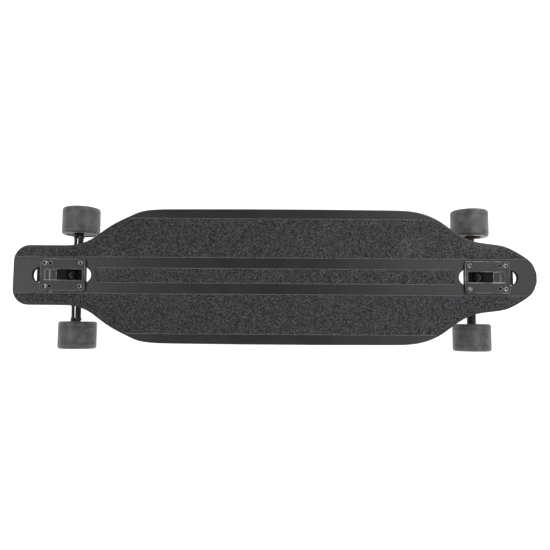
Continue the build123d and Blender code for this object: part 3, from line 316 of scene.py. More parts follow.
# ---------------- finishes
@dataclass(frozen=True)
class Finish:
    """A finish with a cloudy colour, a gloss that wanders and a fine relief; where asked, painted shade
    below a height and pale sloped edges that are partly wear, partly a painted highlight.
    """

    name: str
    slot: str
    colour: Colour
    second: Colour
    rough: Span = (0.4, 0.55)
    metal: float = 0.0
    grain: float = 1500.0
    relief: float = 0.00004
    clouds: float = 60.0
    cloud_edge: Span = (0.3, 0.7)
    stretch: Point = (1, 1, 1)
    speckle: float = 0.0
    speckle_colour: Colour = (0.35, 0.35, 0.35)
    speckle_edge: Span = (0.15, 0.35)
    coat: float = 0.0
    coat_rough: float = 0.12
    specular: float = 0.5
    # Height below which the finish is painted near-black and matte, as painted shade in a pocket.
    painted_shade_below: float | None = None
    # Pale colour for sloped edges: partly worn coating, partly a painted highlight.
    worn_edge_highlight: Colour | None = None
    worn_clouds: float = 90.0

    def material(self) -> bpy.types.Material:
        """Give the finish's material, made the first time it is asked for.

        Returns:
            The material.
        """
        known = bpy.data.materials.get(self.name)
        return known if known else self.build()

    def specks(self, graph: Graph) -> Socket:
        """Scatter specks.

        Args:
            graph: the material they go into.

        Returns:
            How much of a speck shows, from 0 to 1.
        """
        spots = graph.grains(self.grain * 0.5)
        chance = graph.axes(spots.outputs["Color"])[0]
        chosen = graph.step(chance, 1.0 - self.speckle, 1.0 - self.speckle * 0.8)
        return graph.times(chosen, graph.fall(spots.outputs["Distance"], *self.speckle_edge))

    def wear_and_highlight(self, graph: Graph) -> Socket:
        """Lighten sloped edges that face neither up nor sideways: partly the coating worn off, partly a
        painted highlight on rims tilted up towards the lamps.

        Args:
            graph: the material that the pale edges go into.

        Returns:
            How much of the pale edge shows, from 0 to 1: worn coating and painted highlight.
        """
        tilt = graph.axes(graph.add("NewGeometry", {}).outputs["Normal"])[2]
        edge = graph.times(graph.step(tilt, 0.12, 0.30), graph.fall(tilt, 0.90, 0.99))
        patches = graph.step(graph.noise(self.worn_clouds, 3.0, 0.6), 0.35, 0.6)
        return graph.times(edge, graph.span(patches, 0.45, 1.0))

    def build(self) -> bpy.types.Material:
        """Make the material from the finish's own numbers.

        Returns:
            The new material.
        """
        graph = Graph(self.name)
        along = graph.moved(self.stretch)
        cloud = graph.noise(self.clouds, 4.0, 0.6, along)
        fine = graph.noise(self.grain, 3.0, 0.6, along)
        colour = graph.mix(graph.step(cloud, *self.cloud_edge), self.colour, self.second)
        if self.speckle:
            colour = graph.mix(self.specks(graph), colour, self.speckle_colour)
        rough = graph.span(graph.mean(cloud, fine), *self.rough)
        metal: Value = self.metal
        # Pale sloped edges: partly wear, partly a painted highlight.
        if self.worn_edge_highlight is not None:
            colour = graph.mix(self.wear_and_highlight(graph), colour, self.worn_edge_highlight)
        # Painted shade: below the given height, in the baseplate pocket, the finish turns near-black, matte
        # and not metallic.
        if self.painted_shade_below is not None:
            lit_share = graph.step(graph.axes()[2], self.painted_shade_below - 0.001, self.painted_shade_below + 0.0005)
            colour = graph.mix(lit_share, PAINTED_SHADE, colour)
            rough = graph.math("MAXIMUM", rough, graph.span(lit_share, 0.95, 0.0))
            metal = graph.times(lit_share, self.metal)
        graph.surface(
            base_color=colour, metallic=metal, roughness=rough, specular_ior_level=self.specular,
            coat_weight=self.coat, coat_roughness=self.coat_rough, normal=graph.bump(fine, self.relief),
        )
        return graph.material


@dataclass(frozen=True)
class Scuff:
    """A worn line on the grip tape, from one point to another, seen from above."""

    start: Spot
    end: Spot
    width: float = 0.0006
    strength: float = 0.5

    def share(self, graph: Graph, x: Value, y: Value) -> Value:
        """Draw the line.

        Args:
            graph: the material that it goes into.
            x: the first coordinate.
            y: the second coordinate.

        Returns:
            How much of the scuff shows, from 0 to 1.
        """
        run = Vector(self.end) - Vector(self.start)
        along_x, along_y = run.normalized()
        dx = graph.math("SUBTRACT", x, self.start[0])
        dy = graph.math("SUBTRACT", y, self.start[1])
        across = graph.apart(graph.times(dx, along_y), graph.times(dy, along_x))
        forth = graph.math("ADD", graph.times(dx, along_x), graph.times(dy, along_y))
        begun = graph.step(forth, 0.0, run.length * 0.2)
        inside = graph.times(begun, graph.fall(forth, run.length * 0.8, run.length))
        thin = graph.fall(across, self.width * 0.4, self.width * 1.6)
        return graph.times(inside, thin, self.strength)


@dataclass(frozen=True)
class GripTape(Finish):
    """Black grit set in resin: dark pits, pale grains, rare painted glints, paler cut edges, and scuffs."""

    specular: float = 0.25
    cut_lines: tuple[float, ...] = ()
    cut_half: Span = (0.0005, 0.0011)
    cut_share: float = 0.4
    scuffs: tuple[Scuff, ...] = ()
    grit: float = 1100.0
    mottle: float = 330.0
    contrast: Span = (0.40, 0.62)
    worn_scale: float = 9.0
    worn_share: float = 0.18
    broken_scale: float = 120.0

    def build(self) -> bpy.types.Material:
        """Make the grit, its cut edges and its scuffs.

        Returns:
            The new material.
        """
        graph = Graph(self.name)
        grit = graph.grains(self.grit)
        grain_tone = graph.axes(grit.outputs["Color"])[0]
        blotch = graph.noise(self.mottle, 3.0, 0.7)
        tone = graph.math("ADD", graph.times(blotch, 0.75), graph.times(grain_tone, 0.25))
        colour = graph.mix(graph.step(tone, *self.contrast), self.colour, self.second)
        worn = graph.step(graph.noise(self.worn_scale, 5.0, 0.65), 0.55, 0.8)
        x, y, _ = graph.axes()
        broken = graph.step(graph.noise(self.broken_scale, 3.0, 0.7), 0.3, 0.5)
        # The second mark is a painted glint: the rarest grains are lightened as if catching the light. The
        # others are wear, cut edges and scuffs.
        pale = [graph.times(worn, self.worn_share), graph.step(grain_tone, 1.0 - self.speckle, 1.0)]
        for edge in self.cut_lines:
            rim = graph.fall(graph.apart(y, edge), *self.cut_half)
            pale.append(graph.times(rim, broken, self.cut_share))
        pale += [scuff.share(graph, x, y) for scuff in self.scuffs]
        for share in pale:
            colour = graph.mix(share, colour, self.speckle_colour)
        height = graph.math("ADD", graph.math("SUBTRACT", 1.0, grit.outputs["Distance"]), grain_tone)
        relief = graph.bump(blotch, self.relief * 1.5, graph.bump(height, self.relief))
        graph.surface(base_color=colour, roughness=graph.span(grain_tone, *self.rough),
                      specular_ior_level=self.specular, normal=relief)
        return graph.material


@dataclass(frozen=True)
class Chips:
    """A patch of small pale chips in a painted face, round a point seen from above."""

    middle: Spot
    reach: float
    share: float = 0.5
    flake_edge: Span = (0.2, 0.4)

    def cover(self, graph: Graph, x: Value, y: Value, flakes: bpy.types.Node) -> Value:
        """Scatter the chips.

        Args:
            graph: the material that they go into.
            x: the first coordinate.
            y: the second coordinate.
            flakes: the grains that the chips are chosen from.

        Returns:
            How much of a chip shows, from 0 to 1.
        """
        dx = graph.math("SUBTRACT", x, self.middle[0])
        dy = graph.math("SUBTRACT", y, self.middle[1])
        away = graph.math("SQRT", graph.math("ADD", graph.times(dx, dx), graph.times(dy, dy)))
        near = graph.fall(away, self.reach * 0.5, self.reach)
        chance = graph.axes(flakes.outputs["Color"])[1]
        flake = graph.step(chance, 1.0 - self.share, 1.02 - self.share)
        return graph.times(near, flake, graph.fall(flakes.outputs["Distance"], *self.flake_edge))


@dataclass(frozen=True)
class Lacquer(Finish):
    """Satin black lacquer over maple: drawn-out sanding lines, faint dust, small chips, and painted shade
    on the slot walls.
    """

    clouds: float = 14.0
    cloud_edge: Span = (0.3, 0.75)
    sanding: float = 900.0
    sanding_stretch: Point = (0.03, 1.0, 1.0)
    sanding_share: float = 0.25
    dust_share: float = 0.12
    chips: tuple[Chips, ...] = ()
    chip_scale: float = 420.0
    chip_colour: Colour = (0.6, 0.6, 0.62)
    slot_half: float = 0.0185
    face_top: float = 0.1000
    face_bottom: float = 0.0885

    def slot_wall_shade(self, graph: Graph, y: Value, z: Value) -> Value:
        """Find the walls of the truck slots, which get painted shade.

        Args:
            graph: the material that they are in.
            y: the coordinate across the board.
            z: the height.

        Returns:
            How much a point lies on those walls, from 0 to 1.
        """
        near = graph.fall(graph.math("ABSOLUTE", y), self.slot_half, self.slot_half + 0.001)
        below = graph.fall(z, self.face_top - 0.0008, self.face_top - 0.0002)
        above = graph.step(z, self.face_bottom, self.face_bottom + 0.0003)
        return graph.times(below, above, near)

    def build(self) -> bpy.types.Material:
        """Make the lacquer, its chips and the painted shade, near-black and matte, on the walls of the
        slots.

        Returns:
            The new material.
        """
        graph = Graph(self.name)
        streak = graph.noise(self.sanding, 4.0, 0.6, graph.moved(self.sanding_stretch))
        cloud = graph.noise(self.clouds, 4.0, 0.6)
        dust = graph.noise(self.grain, 2.0, 0.6)
        x, y, z = graph.axes()
        flakes = graph.grains(self.chip_scale)
        wall = self.slot_wall_shade(graph, y, z)
        layers: list[tuple[Value, Colour]] = [
            (graph.times(graph.step(streak, 0.5, 0.75), self.sanding_share), self.second),
            (graph.times(graph.step(dust, 0.62, 0.8), self.dust_share), self.speckle_colour),
        ]
        layers += [(patch.cover(graph, x, y, flakes), self.chip_colour) for patch in self.chips]
        # Painted shade on the walls of the slots: near-black and matte.
        layers += [(wall, PAINTED_SHADE)]
        colour = graph.mix(graph.step(cloud, *self.cloud_edge), self.colour, self.second)
        for share, tone in layers:
            colour = graph.mix(share, colour, tone)
        satin = graph.span(graph.mean(streak, cloud), *self.rough)
        rough = graph.math("MAXIMUM", satin, graph.times(wall, 0.95))
        relief = graph.bump(dust, self.relief, graph.bump(streak, self.relief))
        graph.surface(base_color=colour, roughness=rough, specular_ior_level=self.specular, normal=relief)
        return graph.material


@dataclass(frozen=True)
class Urethane(Finish):
    """Smoky translucent urethane: cloudy, thinner and warmer at the lips, finely lined round its tread."""

    clouds: float = 70.0
    lines: float = 1400.0
    line_stretch: Point = (0.02, 1.0, 0.02)
    line_share: float = 0.35
    lip: Colour = (0.20, 0.145, 0.09)
    lip_share: Span = (0.35, 1.1)
    middle: float = 0.108
    lip_start: float = 0.0246
    lip_end: float = 0.0255
    glow: float = 0.4
    glow_tint: Point = (1.0, 0.8, 0.62)
    glow_depth: float = 0.005

    def build(self) -> bpy.types.Material:
        """Make the smoky body, the amber lips and the turned lines.

        Returns:
            The new material.
        """
        graph = Graph(self.name)
        _, y, _ = graph.axes()
        from_middle = graph.apart(graph.math("ABSOLUTE", y), self.middle)
        cloud = graph.noise(self.clouds, 4.0, 0.55)
        lines = graph.noise(self.lines, 2.0, 0.7, graph.moved(self.line_stretch))
        dust = graph.noise(self.grain, 2.0, 0.6)
        colour = graph.mix(graph.step(cloud, *self.cloud_edge), self.colour, self.second)
        lined = graph.times(graph.step(lines, 0.5, 0.8), self.line_share)
        colour = graph.mix(lined, colour, self.speckle_colour)
        lip = graph.times(graph.step(from_middle, self.lip_start, self.lip_end),
                          graph.span(cloud, *self.lip_share))
        colour = graph.mix(lip, colour, self.lip)
        relief = graph.bump(dust, self.relief, graph.bump(lines, self.relief * 2.0))
        graph.surface(
            base_color=colour, roughness=graph.span(graph.mean(cloud, lines), *self.rough),
            subsurface_weight=self.glow, subsurface_radius=self.glow_tint,
            subsurface_scale=self.glow_depth, specular_ior_level=self.specular, normal=relief,
        )
        return graph.material


@dataclass(frozen=True)
class CircuitBoard(Finish):
    """Solder mask with copper tracks under it and pale solder points."""

    tracks: float = 260.0
    track_stretch: Point = (1.0, 0.25, 1.0)
    track_edge: Span = (0.25, 0.3)
    pads: float = 500.0
    pad_edge: Span = (0.12, 0.2)

    def build(self) -> bpy.types.Material:
        """Make the tracks and the solder points.

        Returns:
            The new material.
        """
        graph = Graph(self.name)
        track = graph.grains(self.tracks, graph.moved(self.track_stretch), randomness=0.3)
        pad = graph.grains(self.pads, randomness=0.1)
        lane = graph.step(track.outputs["Distance"], *self.track_edge)
        spot = graph.fall(pad.outputs["Distance"], *self.pad_edge)
        colour = graph.mix(spot, graph.mix(lane, self.colour, self.second), self.speckle_colour)
        graph.surface(base_color=colour, roughness=graph.span(graph.noise(self.grain), *self.rough),
                      metallic=spot, normal=graph.bump(graph.math("ADD", spot, lane), self.relief))
        return graph.material


@dataclass(frozen=True)
class Glow(Finish):
    """A frosted lens with a faint light behind it."""

    strength: float = 0.25

    def build(self) -> bpy.types.Material:
        """Make the frosted lens with its brighter middle.

        Returns:
            The new material.
        """
        graph = Graph(self.name)
        frost = graph.noise(self.grain, 3.0, 0.6)
        graph.surface(
            base_color=graph.mix(frost, self.colour, self.second),
            roughness=graph.span(frost, *self.rough), emission_color=self.second,
            emission_strength=self.strength, normal=graph.bump(frost, self.relief),
        )
        return graph.material


# speckle here sets the share of painted glints.
TAPE = GripTape(
    "grip_tape", "grip", (0.005, 0.005, 0.0053), (0.074, 0.074, 0.078), rough=(0.7, 1.0), relief=0.00035,
    speckle=0.025, speckle_colour=(0.22, 0.22, 0.23),
    cut_lines=(-0.1040, -0.0325, -0.0135, 0.0135, 0.0325, 0.1040),
    scuffs=(
        Scuff((0.0205, 0.1035), (0.008, 0.093)), Scuff((-0.094, -0.103), (-0.090, -0.106), 0.0008),
        Scuff((0.30, -0.035), (0.322, -0.041), 0.0004, 0.25),
        Scuff((-0.20, 0.07), (-0.17, 0.074), 0.0004, 0.2),
    ),
)
LACQUER = Lacquer(
    "satin_lacquer", "deck", (0.009, 0.009, 0.0085), (0.016, 0.016, 0.0155), rough=(0.36, 0.50),
    grain=2200.0, relief=0.00002, specular=0.4,
    chips=(Chips((-0.405, -0.0305), 0.009, 0.6), Chips((0.360, -0.037), 0.005, 0.5)),
)
CAST = Finish(
    "powder_coated_casting", "cast_black", (0.008, 0.008, 0.0085), (0.015, 0.015, 0.016),
    rough=(0.42, 0.56), grain=1800.0, relief=0.00006, speckle=0.03, speckle_colour=(0.05, 0.05, 0.055),
    specular=0.4,
)
# The plate's pocket below the deck top gets painted shade; its up-tilted sloped edges get a pale colour
# that is partly wear, partly a painted highlight.
PLATE = replace(
    CAST, name="coated_plate", colour=(0.011, 0.011, 0.0115), second=(0.020, 0.020, 0.021), painted_shade_below=0.1008,
    worn_edge_highlight=(0.42, 0.42, 0.46),
)
# The rims also get the painted shade below the deck top.
PLATE_RIM = Finish(
    "burnished_rim", "cast_black", (0.03, 0.03, 0.032), (0.42, 0.42, 0.46), rough=(0.24, 0.42), metal=0.9,
    grain=900.0, relief=0.00003, clouds=45.0, painted_shade_below=0.1008,
)
BOLT = Finish(
    "worn_bolt_head", "bright_steel", (0.055, 0.055, 0.058), (0.13, 0.13, 0.135), rough=(0.24, 0.38),
    metal=0.9, grain=1800.0, relief=0.00002, clouds=240.0,
)
BOLT_RIM = replace(BOLT, name="bright_bolt_rim", colour=(0.05, 0.05, 0.05), second=(0.85, 0.85, 0.87))
BLACK_STEEL = Finish(
    "black_oxide_steel", "black_steel", (0.016, 0.016, 0.017), (0.045, 0.045, 0.048), rough=(0.3, 0.45),
    metal=0.7, grain=2400.0, relief=0.00002,
)
ZINC = Finish(
    "bright_zinc", "bright_steel", (0.50, 0.51, 0.53), (0.72, 0.73, 0.75), rough=(0.16, 0.30), metal=1.0,
    grain=1800.0, relief=0.00002, clouds=200.0,
)
AXLE = Finish(
    "ground_axle_steel", "axle_steel", (0.42, 0.42, 0.44), (0.62, 0.62, 0.64), rough=(0.18, 0.32),
    metal=1.0, grain=2600.0, relief=0.00002, stretch=(1, 0.05, 1),
)
URETHANE = Urethane(
    "smoky_urethane", "urethane", (0.046, 0.045, 0.045), (0.098, 0.096, 0.097), rough=(0.36, 0.50),
    grain=1600.0, relief=0.00004, speckle_colour=(0.16, 0.152, 0.15), specular=0.45,
)
NYLON = Finish(
    "glass_filled_nylon", "core", (0.022, 0.021, 0.021), (0.036, 0.034, 0.034), rough=(0.45, 0.6),
    grain=1600.0,
)
BEARING_STEEL = Finish(
    "bearing_steel", "bearing", (0.45, 0.45, 0.46), (0.62, 0.62, 0.63), rough=(0.15, 0.28), metal=1.0,
    grain=3000.0, relief=0.00001,
)
SEAL = Finish(
    "bearing_seal", "bearing", (0.02, 0.02, 0.022), (0.035, 0.035, 0.04), rough=(0.45, 0.6), grain=2400.0,
)
CAN = Finish(
    "black_anodised_can", "motor_can", (0.016, 0.016, 0.018), (0.034, 0.034, 0.037), rough=(0.25, 0.40),
    metal=0.8, grain=1600.0, relief=0.00003, stretch=(1, 0.1, 1),
)
CAN_RIM = Finish(
    "turned_bright_rim", "motor_can", (0.30, 0.30, 0.31), (0.48, 0.48, 0.50), rough=(0.16, 0.3), metal=1.0,
    grain=2200.0, relief=0.00002,
)
MAGNET = Finish(
    "nickel_plated_magnet", "magnet", (0.42, 0.41, 0.38), (0.55, 0.54, 0.50), rough=(0.2, 0.35), metal=1.0,
)
STATOR = Finish(
    "varnished_laminations", "stator", (0.016, 0.015, 0.014), (0.035, 0.030, 0.026), rough=(0.4, 0.6),
    metal=0.4, grain=2800.0, relief=0.00006, stretch=(0.1, 1, 0.1),
)
RUBBER = Finish(
    "bushing_urethane", "bushing", (0.020, 0.020, 0.021), (0.036, 0.036, 0.038), rough=(0.42, 0.6),
    grain=1100.0, relief=0.00005,
)
CUP = Finish(
    "pivot_cup_urethane", "pivot_cup", (0.016, 0.016, 0.017), (0.026, 0.026, 0.028), rough=(0.45, 0.6),
)
BOX = Finish(
    "textured_box_plastic", "box", (0.017, 0.017, 0.018), (0.027, 0.027, 0.029), rough=(0.5, 0.68),
    grain=1300.0, relief=0.00014, speckle=0.02, speckle_colour=(0.06, 0.06, 0.065),
)
GASKET = Finish(
    "gasket_foam", "gasket", (0.010, 0.010, 0.010), (0.022, 0.022, 0.022), rough=(0.8, 0.95), grain=1600.0,
    relief=0.0002,
)
TRAY = Finish("tray_plastic", "tray", (0.03, 0.03, 0.032), (0.05, 0.05, 0.052), rough=(0.5, 0.65))
CELL = Finish(
    "shrink_wrapped_cell", "cell", (0.03, 0.12, 0.20), (0.04, 0.16, 0.26), rough=(0.25, 0.4), grain=700.0,
    stretch=(1, 0.1, 1), coat=0.4,
)
NICKEL = Finish(
    "nickel_strip", "nickel", (0.48, 0.47, 0.45), (0.62, 0.60, 0.57), rough=(0.2, 0.34), metal=1.0,
    grain=1800.0, speckle=0.1,
)
BOARD = CircuitBoard(
    "solder_mask_board", "circuit_board", (0.012, 0.06, 0.03), (0.02, 0.10, 0.045), rough=(0.25, 0.4),
    speckle_colour=(0.6, 0.6, 0.58),
)
SINK = Finish(
    "brushed_heat_sink", "heat_sink", (0.36, 0.37, 0.38), (0.52, 0.53, 0.55), rough=(0.28, 0.42), metal=1.0,
    grain=1700.0, stretch=(0.06, 1, 1),
)
PORT = Finish("moulded_port", "port", (0.022, 0.022, 0.023), (0.035, 0.035, 0.037), rough=(0.3, 0.45))
CAP = Finish(
    "rubber_cap", "cap", (0.018, 0.018, 0.019), (0.030, 0.030, 0.031), rough=(0.55, 0.7), relief=0.00007,
)
SWITCH = Finish(
    "switch_collar", "switch", (0.030, 0.030, 0.032), (0.050, 0.050, 0.052), rough=(0.22, 0.36), metal=0.6,
    grain=2000.0,
)
BUTTON = Finish(
    "brushed_button", "button", (0.40, 0.41, 0.42), (0.56, 0.57, 0.58), rough=(0.2, 0.34), metal=1.0,
    grain=2200.0, stretch=(0.06, 1, 1),
)
LENS = Glow("frosted_lens", "light", (0.35, 0.42, 0.40), (0.55, 0.80, 0.70), rough=(0.3, 0.5))
JACKET = Finish(
    "cable_jacket", "cable", (0.012, 0.012, 0.012), (0.022, 0.022, 0.023), rough=(0.42, 0.58), grain=1400.0,
)
CLIP = Finish("nylon_clip", "clip", (0.016, 0.016, 0.016), (0.028, 0.028, 0.029), rough=(0.4, 0.55))
GLAND = Finish("nylon_gland", "gland", (0.018, 0.018, 0.019), (0.032, 0.032, 0.033), rough=(0.38, 0.52))


# ---------------- modelling
def deselect() -> None:
    """Leave object mode with nothing selected."""
    if bpy.context.mode != "OBJECT":
        bpy.ops.object.mode_set(mode="OBJECT")
    bpy.ops.object.select_all(action="DESELECT")


def pick(piece: bpy.types.Object) -> None:
    """Select one piece alone.

    Args:
        piece: the object to work on.
    """
    deselect()
    piece.select_set(True)
    bpy.context.view_layer.objects.active = piece


def settle(piece: bpy.types.Object, body: str, replaced: Sequence[str] = ()) -> None:
    """Hand a finished piece to the frame and report it.

    Args:
        piece: the object, already in its place.
        body: the CAD body that it moves with.
        replaced: the CAD nodes that it stands for.
    """
    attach(piece, body)
    if replaced:
        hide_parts(*replaced)
    LOG.info("%s: %d faces, rides on %s", piece.name, len(piece.data.polygons), body)


def dress(node: str, finish: Finish) -> None:
    """Give a CAD node that stays in view its finish.

    Args:
        node: the node's name.
        finish: what it is covered with.
    """
    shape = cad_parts[node]
    shape.data.materials.clear()
    shape.data.materials.append(finish.material())
    LOG.info("%s: CAD node in %s", node, finish.name)


def smooth(piece: bpy.types.Object, angle: float = 30.0) -> None:
    """Shade a piece smooth except across its sharp edges.

    Args:
        piece: the object to shade.
        angle: between two faces from which their edge counts as sharp, in degrees.
    """
    pick(piece)
    bpy.ops.object.shade_smooth_by_angle(angle=math.radians(angle))


def softened(name: str, node: str, finish: Finish, width: float, rim: Finish | None = None,
             segments: int = 2, sharp: float = 28.0) -> bpy.types.Object:
    """Copy a CAD node as one clean mesh and round its sharp edges.

    Args:
        name: the new piece's name.
        node: the CAD node that is copied.
        finish: what the faces are covered with.
        width: of the rounding, in metres.
        rim: a second finish for the rounded edges, where they are worn or machined.
        segments: steps in the rounding.
        sharp: the least angle of an edge that is rounded, in degrees.

    Returns:
        The new piece.
    """
    piece = bpy.data.objects.new(name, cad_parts[node].data.copy())
    bpy.context.scene.collection.objects.link(piece)
    pick(piece)
    bpy.ops.object.mode_set(mode="EDIT")
    bpy.ops.mesh.select_all(action="SELECT")
    bpy.ops.mesh.customdata_custom_splitnormals_clear()
    bpy.ops.mesh.remove_doubles(threshold=WELD_DISTANCE)
    bpy.ops.mesh.dissolve_limited(angle_limit=math.radians(FLAT_ANGLE))
    bpy.ops.object.mode_set(mode="OBJECT")
    piece.data.materials.clear()
    for cover in (finish, rim or finish):
        piece.data.materials.append(cover.material())
    piece.data.polygons.foreach_set("material_index", [0] * len(piece.data.polygons))
    bpy.ops.object.shade_smooth()
    bpy.ops.object.modifier_add(type="BEVEL")
    bevel = piece.modifiers[-1]
    bevel.width = width
    bevel.segments = segments
    bevel.limit_method = "ANGLE"
    bevel.angle_limit = math.radians(sharp)
    bevel.use_clamp_overlap = False
    bevel.harden_normals = True
    bevel.material = 1 if rim else -1
    bpy.ops.object.modifier_apply(modifier=bevel.name)
    return piece


def turned(name: str, profile: Sequence[Spot], middle: Point, axis: Point, finish: Finish,
           steps: int) -> bpy.types.Object:
    """Spin a closed profile into a round piece.

    Args:
        name: the new piece's name.
        profile: points as (distance along the axis from the middle, radius), in order.
        middle: a point on the axis.
        axis: the direction of the axis.
        finish: what the piece is covered with.
        steps: round the circle.

    Returns:
        The new piece.
    """
    centre, run = Vector(middle), Vector(axis).normalized()
    out = run.orthogonal().normalized()
    points = [centre + run * along + out * radius for along, radius in profile]
    points.append(points[0])
    deselect()
    bpy.context.tool_settings.mesh_select_mode = (True, False, False)
    bpy.ops.mesh.primitive_plane_add(size=0.001)
    piece = bpy.context.object
    piece.name = name
    bpy.ops.object.mode_set(mode="EDIT")
    bpy.ops.mesh.select_all(action="SELECT")
    bpy.ops.mesh.merge(type="CENTER")
    bpy.ops.transform.translate(value=points[0])
    for here, there in zip(points, points[1:]):
        bpy.ops.mesh.extrude_region_move(TRANSFORM_OT_translate={"value": there - here})
    bpy.ops.mesh.select_all(action="SELECT")
    bpy.ops.mesh.spin(steps=steps, angle=2 * math.pi, center=centre, axis=run)
    bpy.ops.mesh.select_all(action="SELECT")
    bpy.ops.mesh.remove_doubles(threshold=WELD_DISTANCE / 2)
    bpy.ops.mesh.normals_make_consistent(inside=False)
    bpy.ops.object.mode_set(mode="OBJECT")
    piece.data.materials.clear()
    piece.data.materials.append(finish.material())
    smooth(piece)
    return piece


def rounded(corner: Spot, before: Spot, after: Spot, radius: float, steps: int) -> list[Spot]:
    """Points of an arc that rounds one square corner of a profile.

    Args:
        corner: the sharp corner.
        before: a point on the way in.
        after: a point on the way out.
        radius: of the arc.
        steps: along the arc.

    Returns:
        The arc's points, in the profile's order.
    """
    here = Vector(corner)
    inward = (Vector(before) - here).normalized()
    onward = (Vector(after) - here).normalized()
    heart = here + (inward + onward) * radius
    points = []
    for i in range(steps + 1):
        turn = math.pi / 2 * i / steps
        point = heart - onward * radius * math.cos(turn) - inward * radius * math.sin(turn)
        points.append(tuple(point))
    return points


# ---------------- studio
@dataclass
class Softbox:
    """A large soft lamp that faces a point."""

    name: str
    place: Point
    aim: Point
    wide: float
    high: float
    power: float
    tint: Colour = (1.0, 1.0, 1.0)

    def hang(self) -> None:
        """Put the lamp in the scene."""
        lamp = bpy.data.lights.new(self.name, "AREA")
        lamp.shape = "RECTANGLE"
        lamp.size, lamp.size_y = self.wide, self.high
        lamp.energy = self.power
        lamp.color = self.tint
        holder = bpy.data.objects.new(self.name, lamp)
        bpy.context.scene.collection.objects.link(holder)
        holder.location = self.place
        gaze = Vector(self.aim) - Vector(self.place)
        holder.rotation_euler = gaze.to_track_quat("-Z", "Y").to_euler()


@dataclass
class Studio:
    """Camera above, softboxes round the board, and a pale lit table.

    The table lies low enough for a wheel that steers down.
    """

    camera_place: Point = (0.0, -0.090, 1.135)
    camera_aim: Point = (0.0, 0.0022, 0.100)
    lens: float = 37.96
    sensor: float = 36.0
    nearest: float = 0.01
    roll: float = 0.38
    table: float = 7.0
    table_height: float = -0.0215
    paper: Colour = (0.52, 0.52, 0.52)
    paper_clouds: Colour = (0.56, 0.56, 0.56)
    table_glow: float = 0.86
    horizon: Colour = (0.93, 0.94, 0.96)
    zenith: Colour = (0.30, 0.30, 0.31)
    climb: Span = (0.25, 0.75)
    softboxes: list[Softbox] = field(default_factory=lambda: [
        Softbox("softbox_tail", (-0.80, 0.05, 0.85), (-0.4, 0.0, 0.1), 0.5, 0.6, 3.2),
        Softbox("softbox_nose", (0.62, 0.05, 0.85), (0.35, 0.0, 0.1), 0.6, 0.6, 2.6, (1.0, 0.97, 1.0)),
        Softbox("fill_left", (0.80, 0.90, 0.75), (0.4, 0.0, 0.06), 0.8, 0.8, 8.0, (1.0, 0.985, 1.0)),
        Softbox("fill_right", (0.50, -0.95, 0.70), (0.2, 0.0, 0.06), 0.8, 0.8, 3.5),
    ])

    def build(self) -> None:
        """Set up the whole studio."""
        self.point_camera()
        self.lay_table()
        self.light_world()
        for softbox in self.softboxes:
            softbox.hang()
        bpy.context.scene.view_settings.view_transform = "Standard"

    def point_camera(self) -> None:
        """Put the camera above the board, aimed at its middle and rolled a little."""
        lens = bpy.data.cameras.new("camera")
        lens.lens = self.lens
        lens.sensor_width = self.sensor
        lens.clip_start = self.nearest
        camera = bpy.data.objects.new("camera", lens)
        bpy.context.scene.collection.objects.link(camera)
        camera.location = self.camera_place
        gaze = (Vector(self.camera_aim) - Vector(self.camera_place)).to_track_quat("-Z", "Y")
        camera.rotation_euler = (gaze @ Quaternion((0, 0, 1), math.radians(self.roll))).to_euler()
        bpy.context.scene.camera = camera

    def lay_table(self) -> None:
        """Lay the pale table that glows a little from below."""
        deselect()
        middle = (0.0, 0.0, self.table_height)
        bpy.ops.mesh.primitive_plane_add(size=self.table, location=middle)
        floor = bpy.context.object
        floor.name = "table"
        graph = Graph("pale_table")
        tone = graph.mix(graph.noise(6.0, 3.0, 0.5), self.paper, self.paper_clouds)
        graph.surface(base_color=tone, roughness=0.9, specular_ior_level=0.1,
                      emission_color=(1.0, 1.0, 1.0), emission_strength=self.table_glow)
        floor.data.materials.append(graph.material)

    def light_world(self) -> None:
        """Light the room: pale at the horizon and darker overhead, as under a dark ceiling."""
        world = bpy.data.worlds.new("room")
        bpy.context.scene.world = world
        world.use_nodes = True
        tree = world.node_tree
        direction = tree.nodes.new("ShaderNodeTexCoord").outputs["Generated"]
        apart = tree.nodes.new("ShaderNodeSeparateXYZ")
        tree.links.new(direction, apart.inputs[0])
        climb = tree.nodes.new("ShaderNodeMapRange")
        climb.interpolation_type = "SMOOTHSTEP"
        climb.inputs["From Min"].default_value, climb.inputs["From Max"].default_value = self.climb
        tree.links.new(apart.outputs["Z"], climb.inputs["Value"])
        blend = tree.nodes.new("ShaderNodeMix")
        blend.data_type = "RGBA"
        blend.inputs[6].default_value = (*self.horizon, 1.0)
        blend.inputs[7].default_value = (*self.zenith, 1.0)
        tree.links.new(climb.outputs[0], blend.inputs[0])
        tree.links.new(blend.outputs[2], tree.nodes["Background"].inputs["Color"])


# ---------------- plank
@dataclass
class Plank:
    """The deck and its three strips of grip tape."""

    grips: tuple[str, ...] = ("grip_tape_left", "grip_tape_right", "grip_tape_centre")

    def build(self) -> None:
        """Dress the deck and the tape."""
        dress("deck", LACQUER)
        for strip in self.grips:
            dress(strip, TAPE)


# ---------------- trucks
class TruckEnd(Enum):
    """The end of the board that a truck is at."""

    FRONT = "front"
    REAR = "rear"


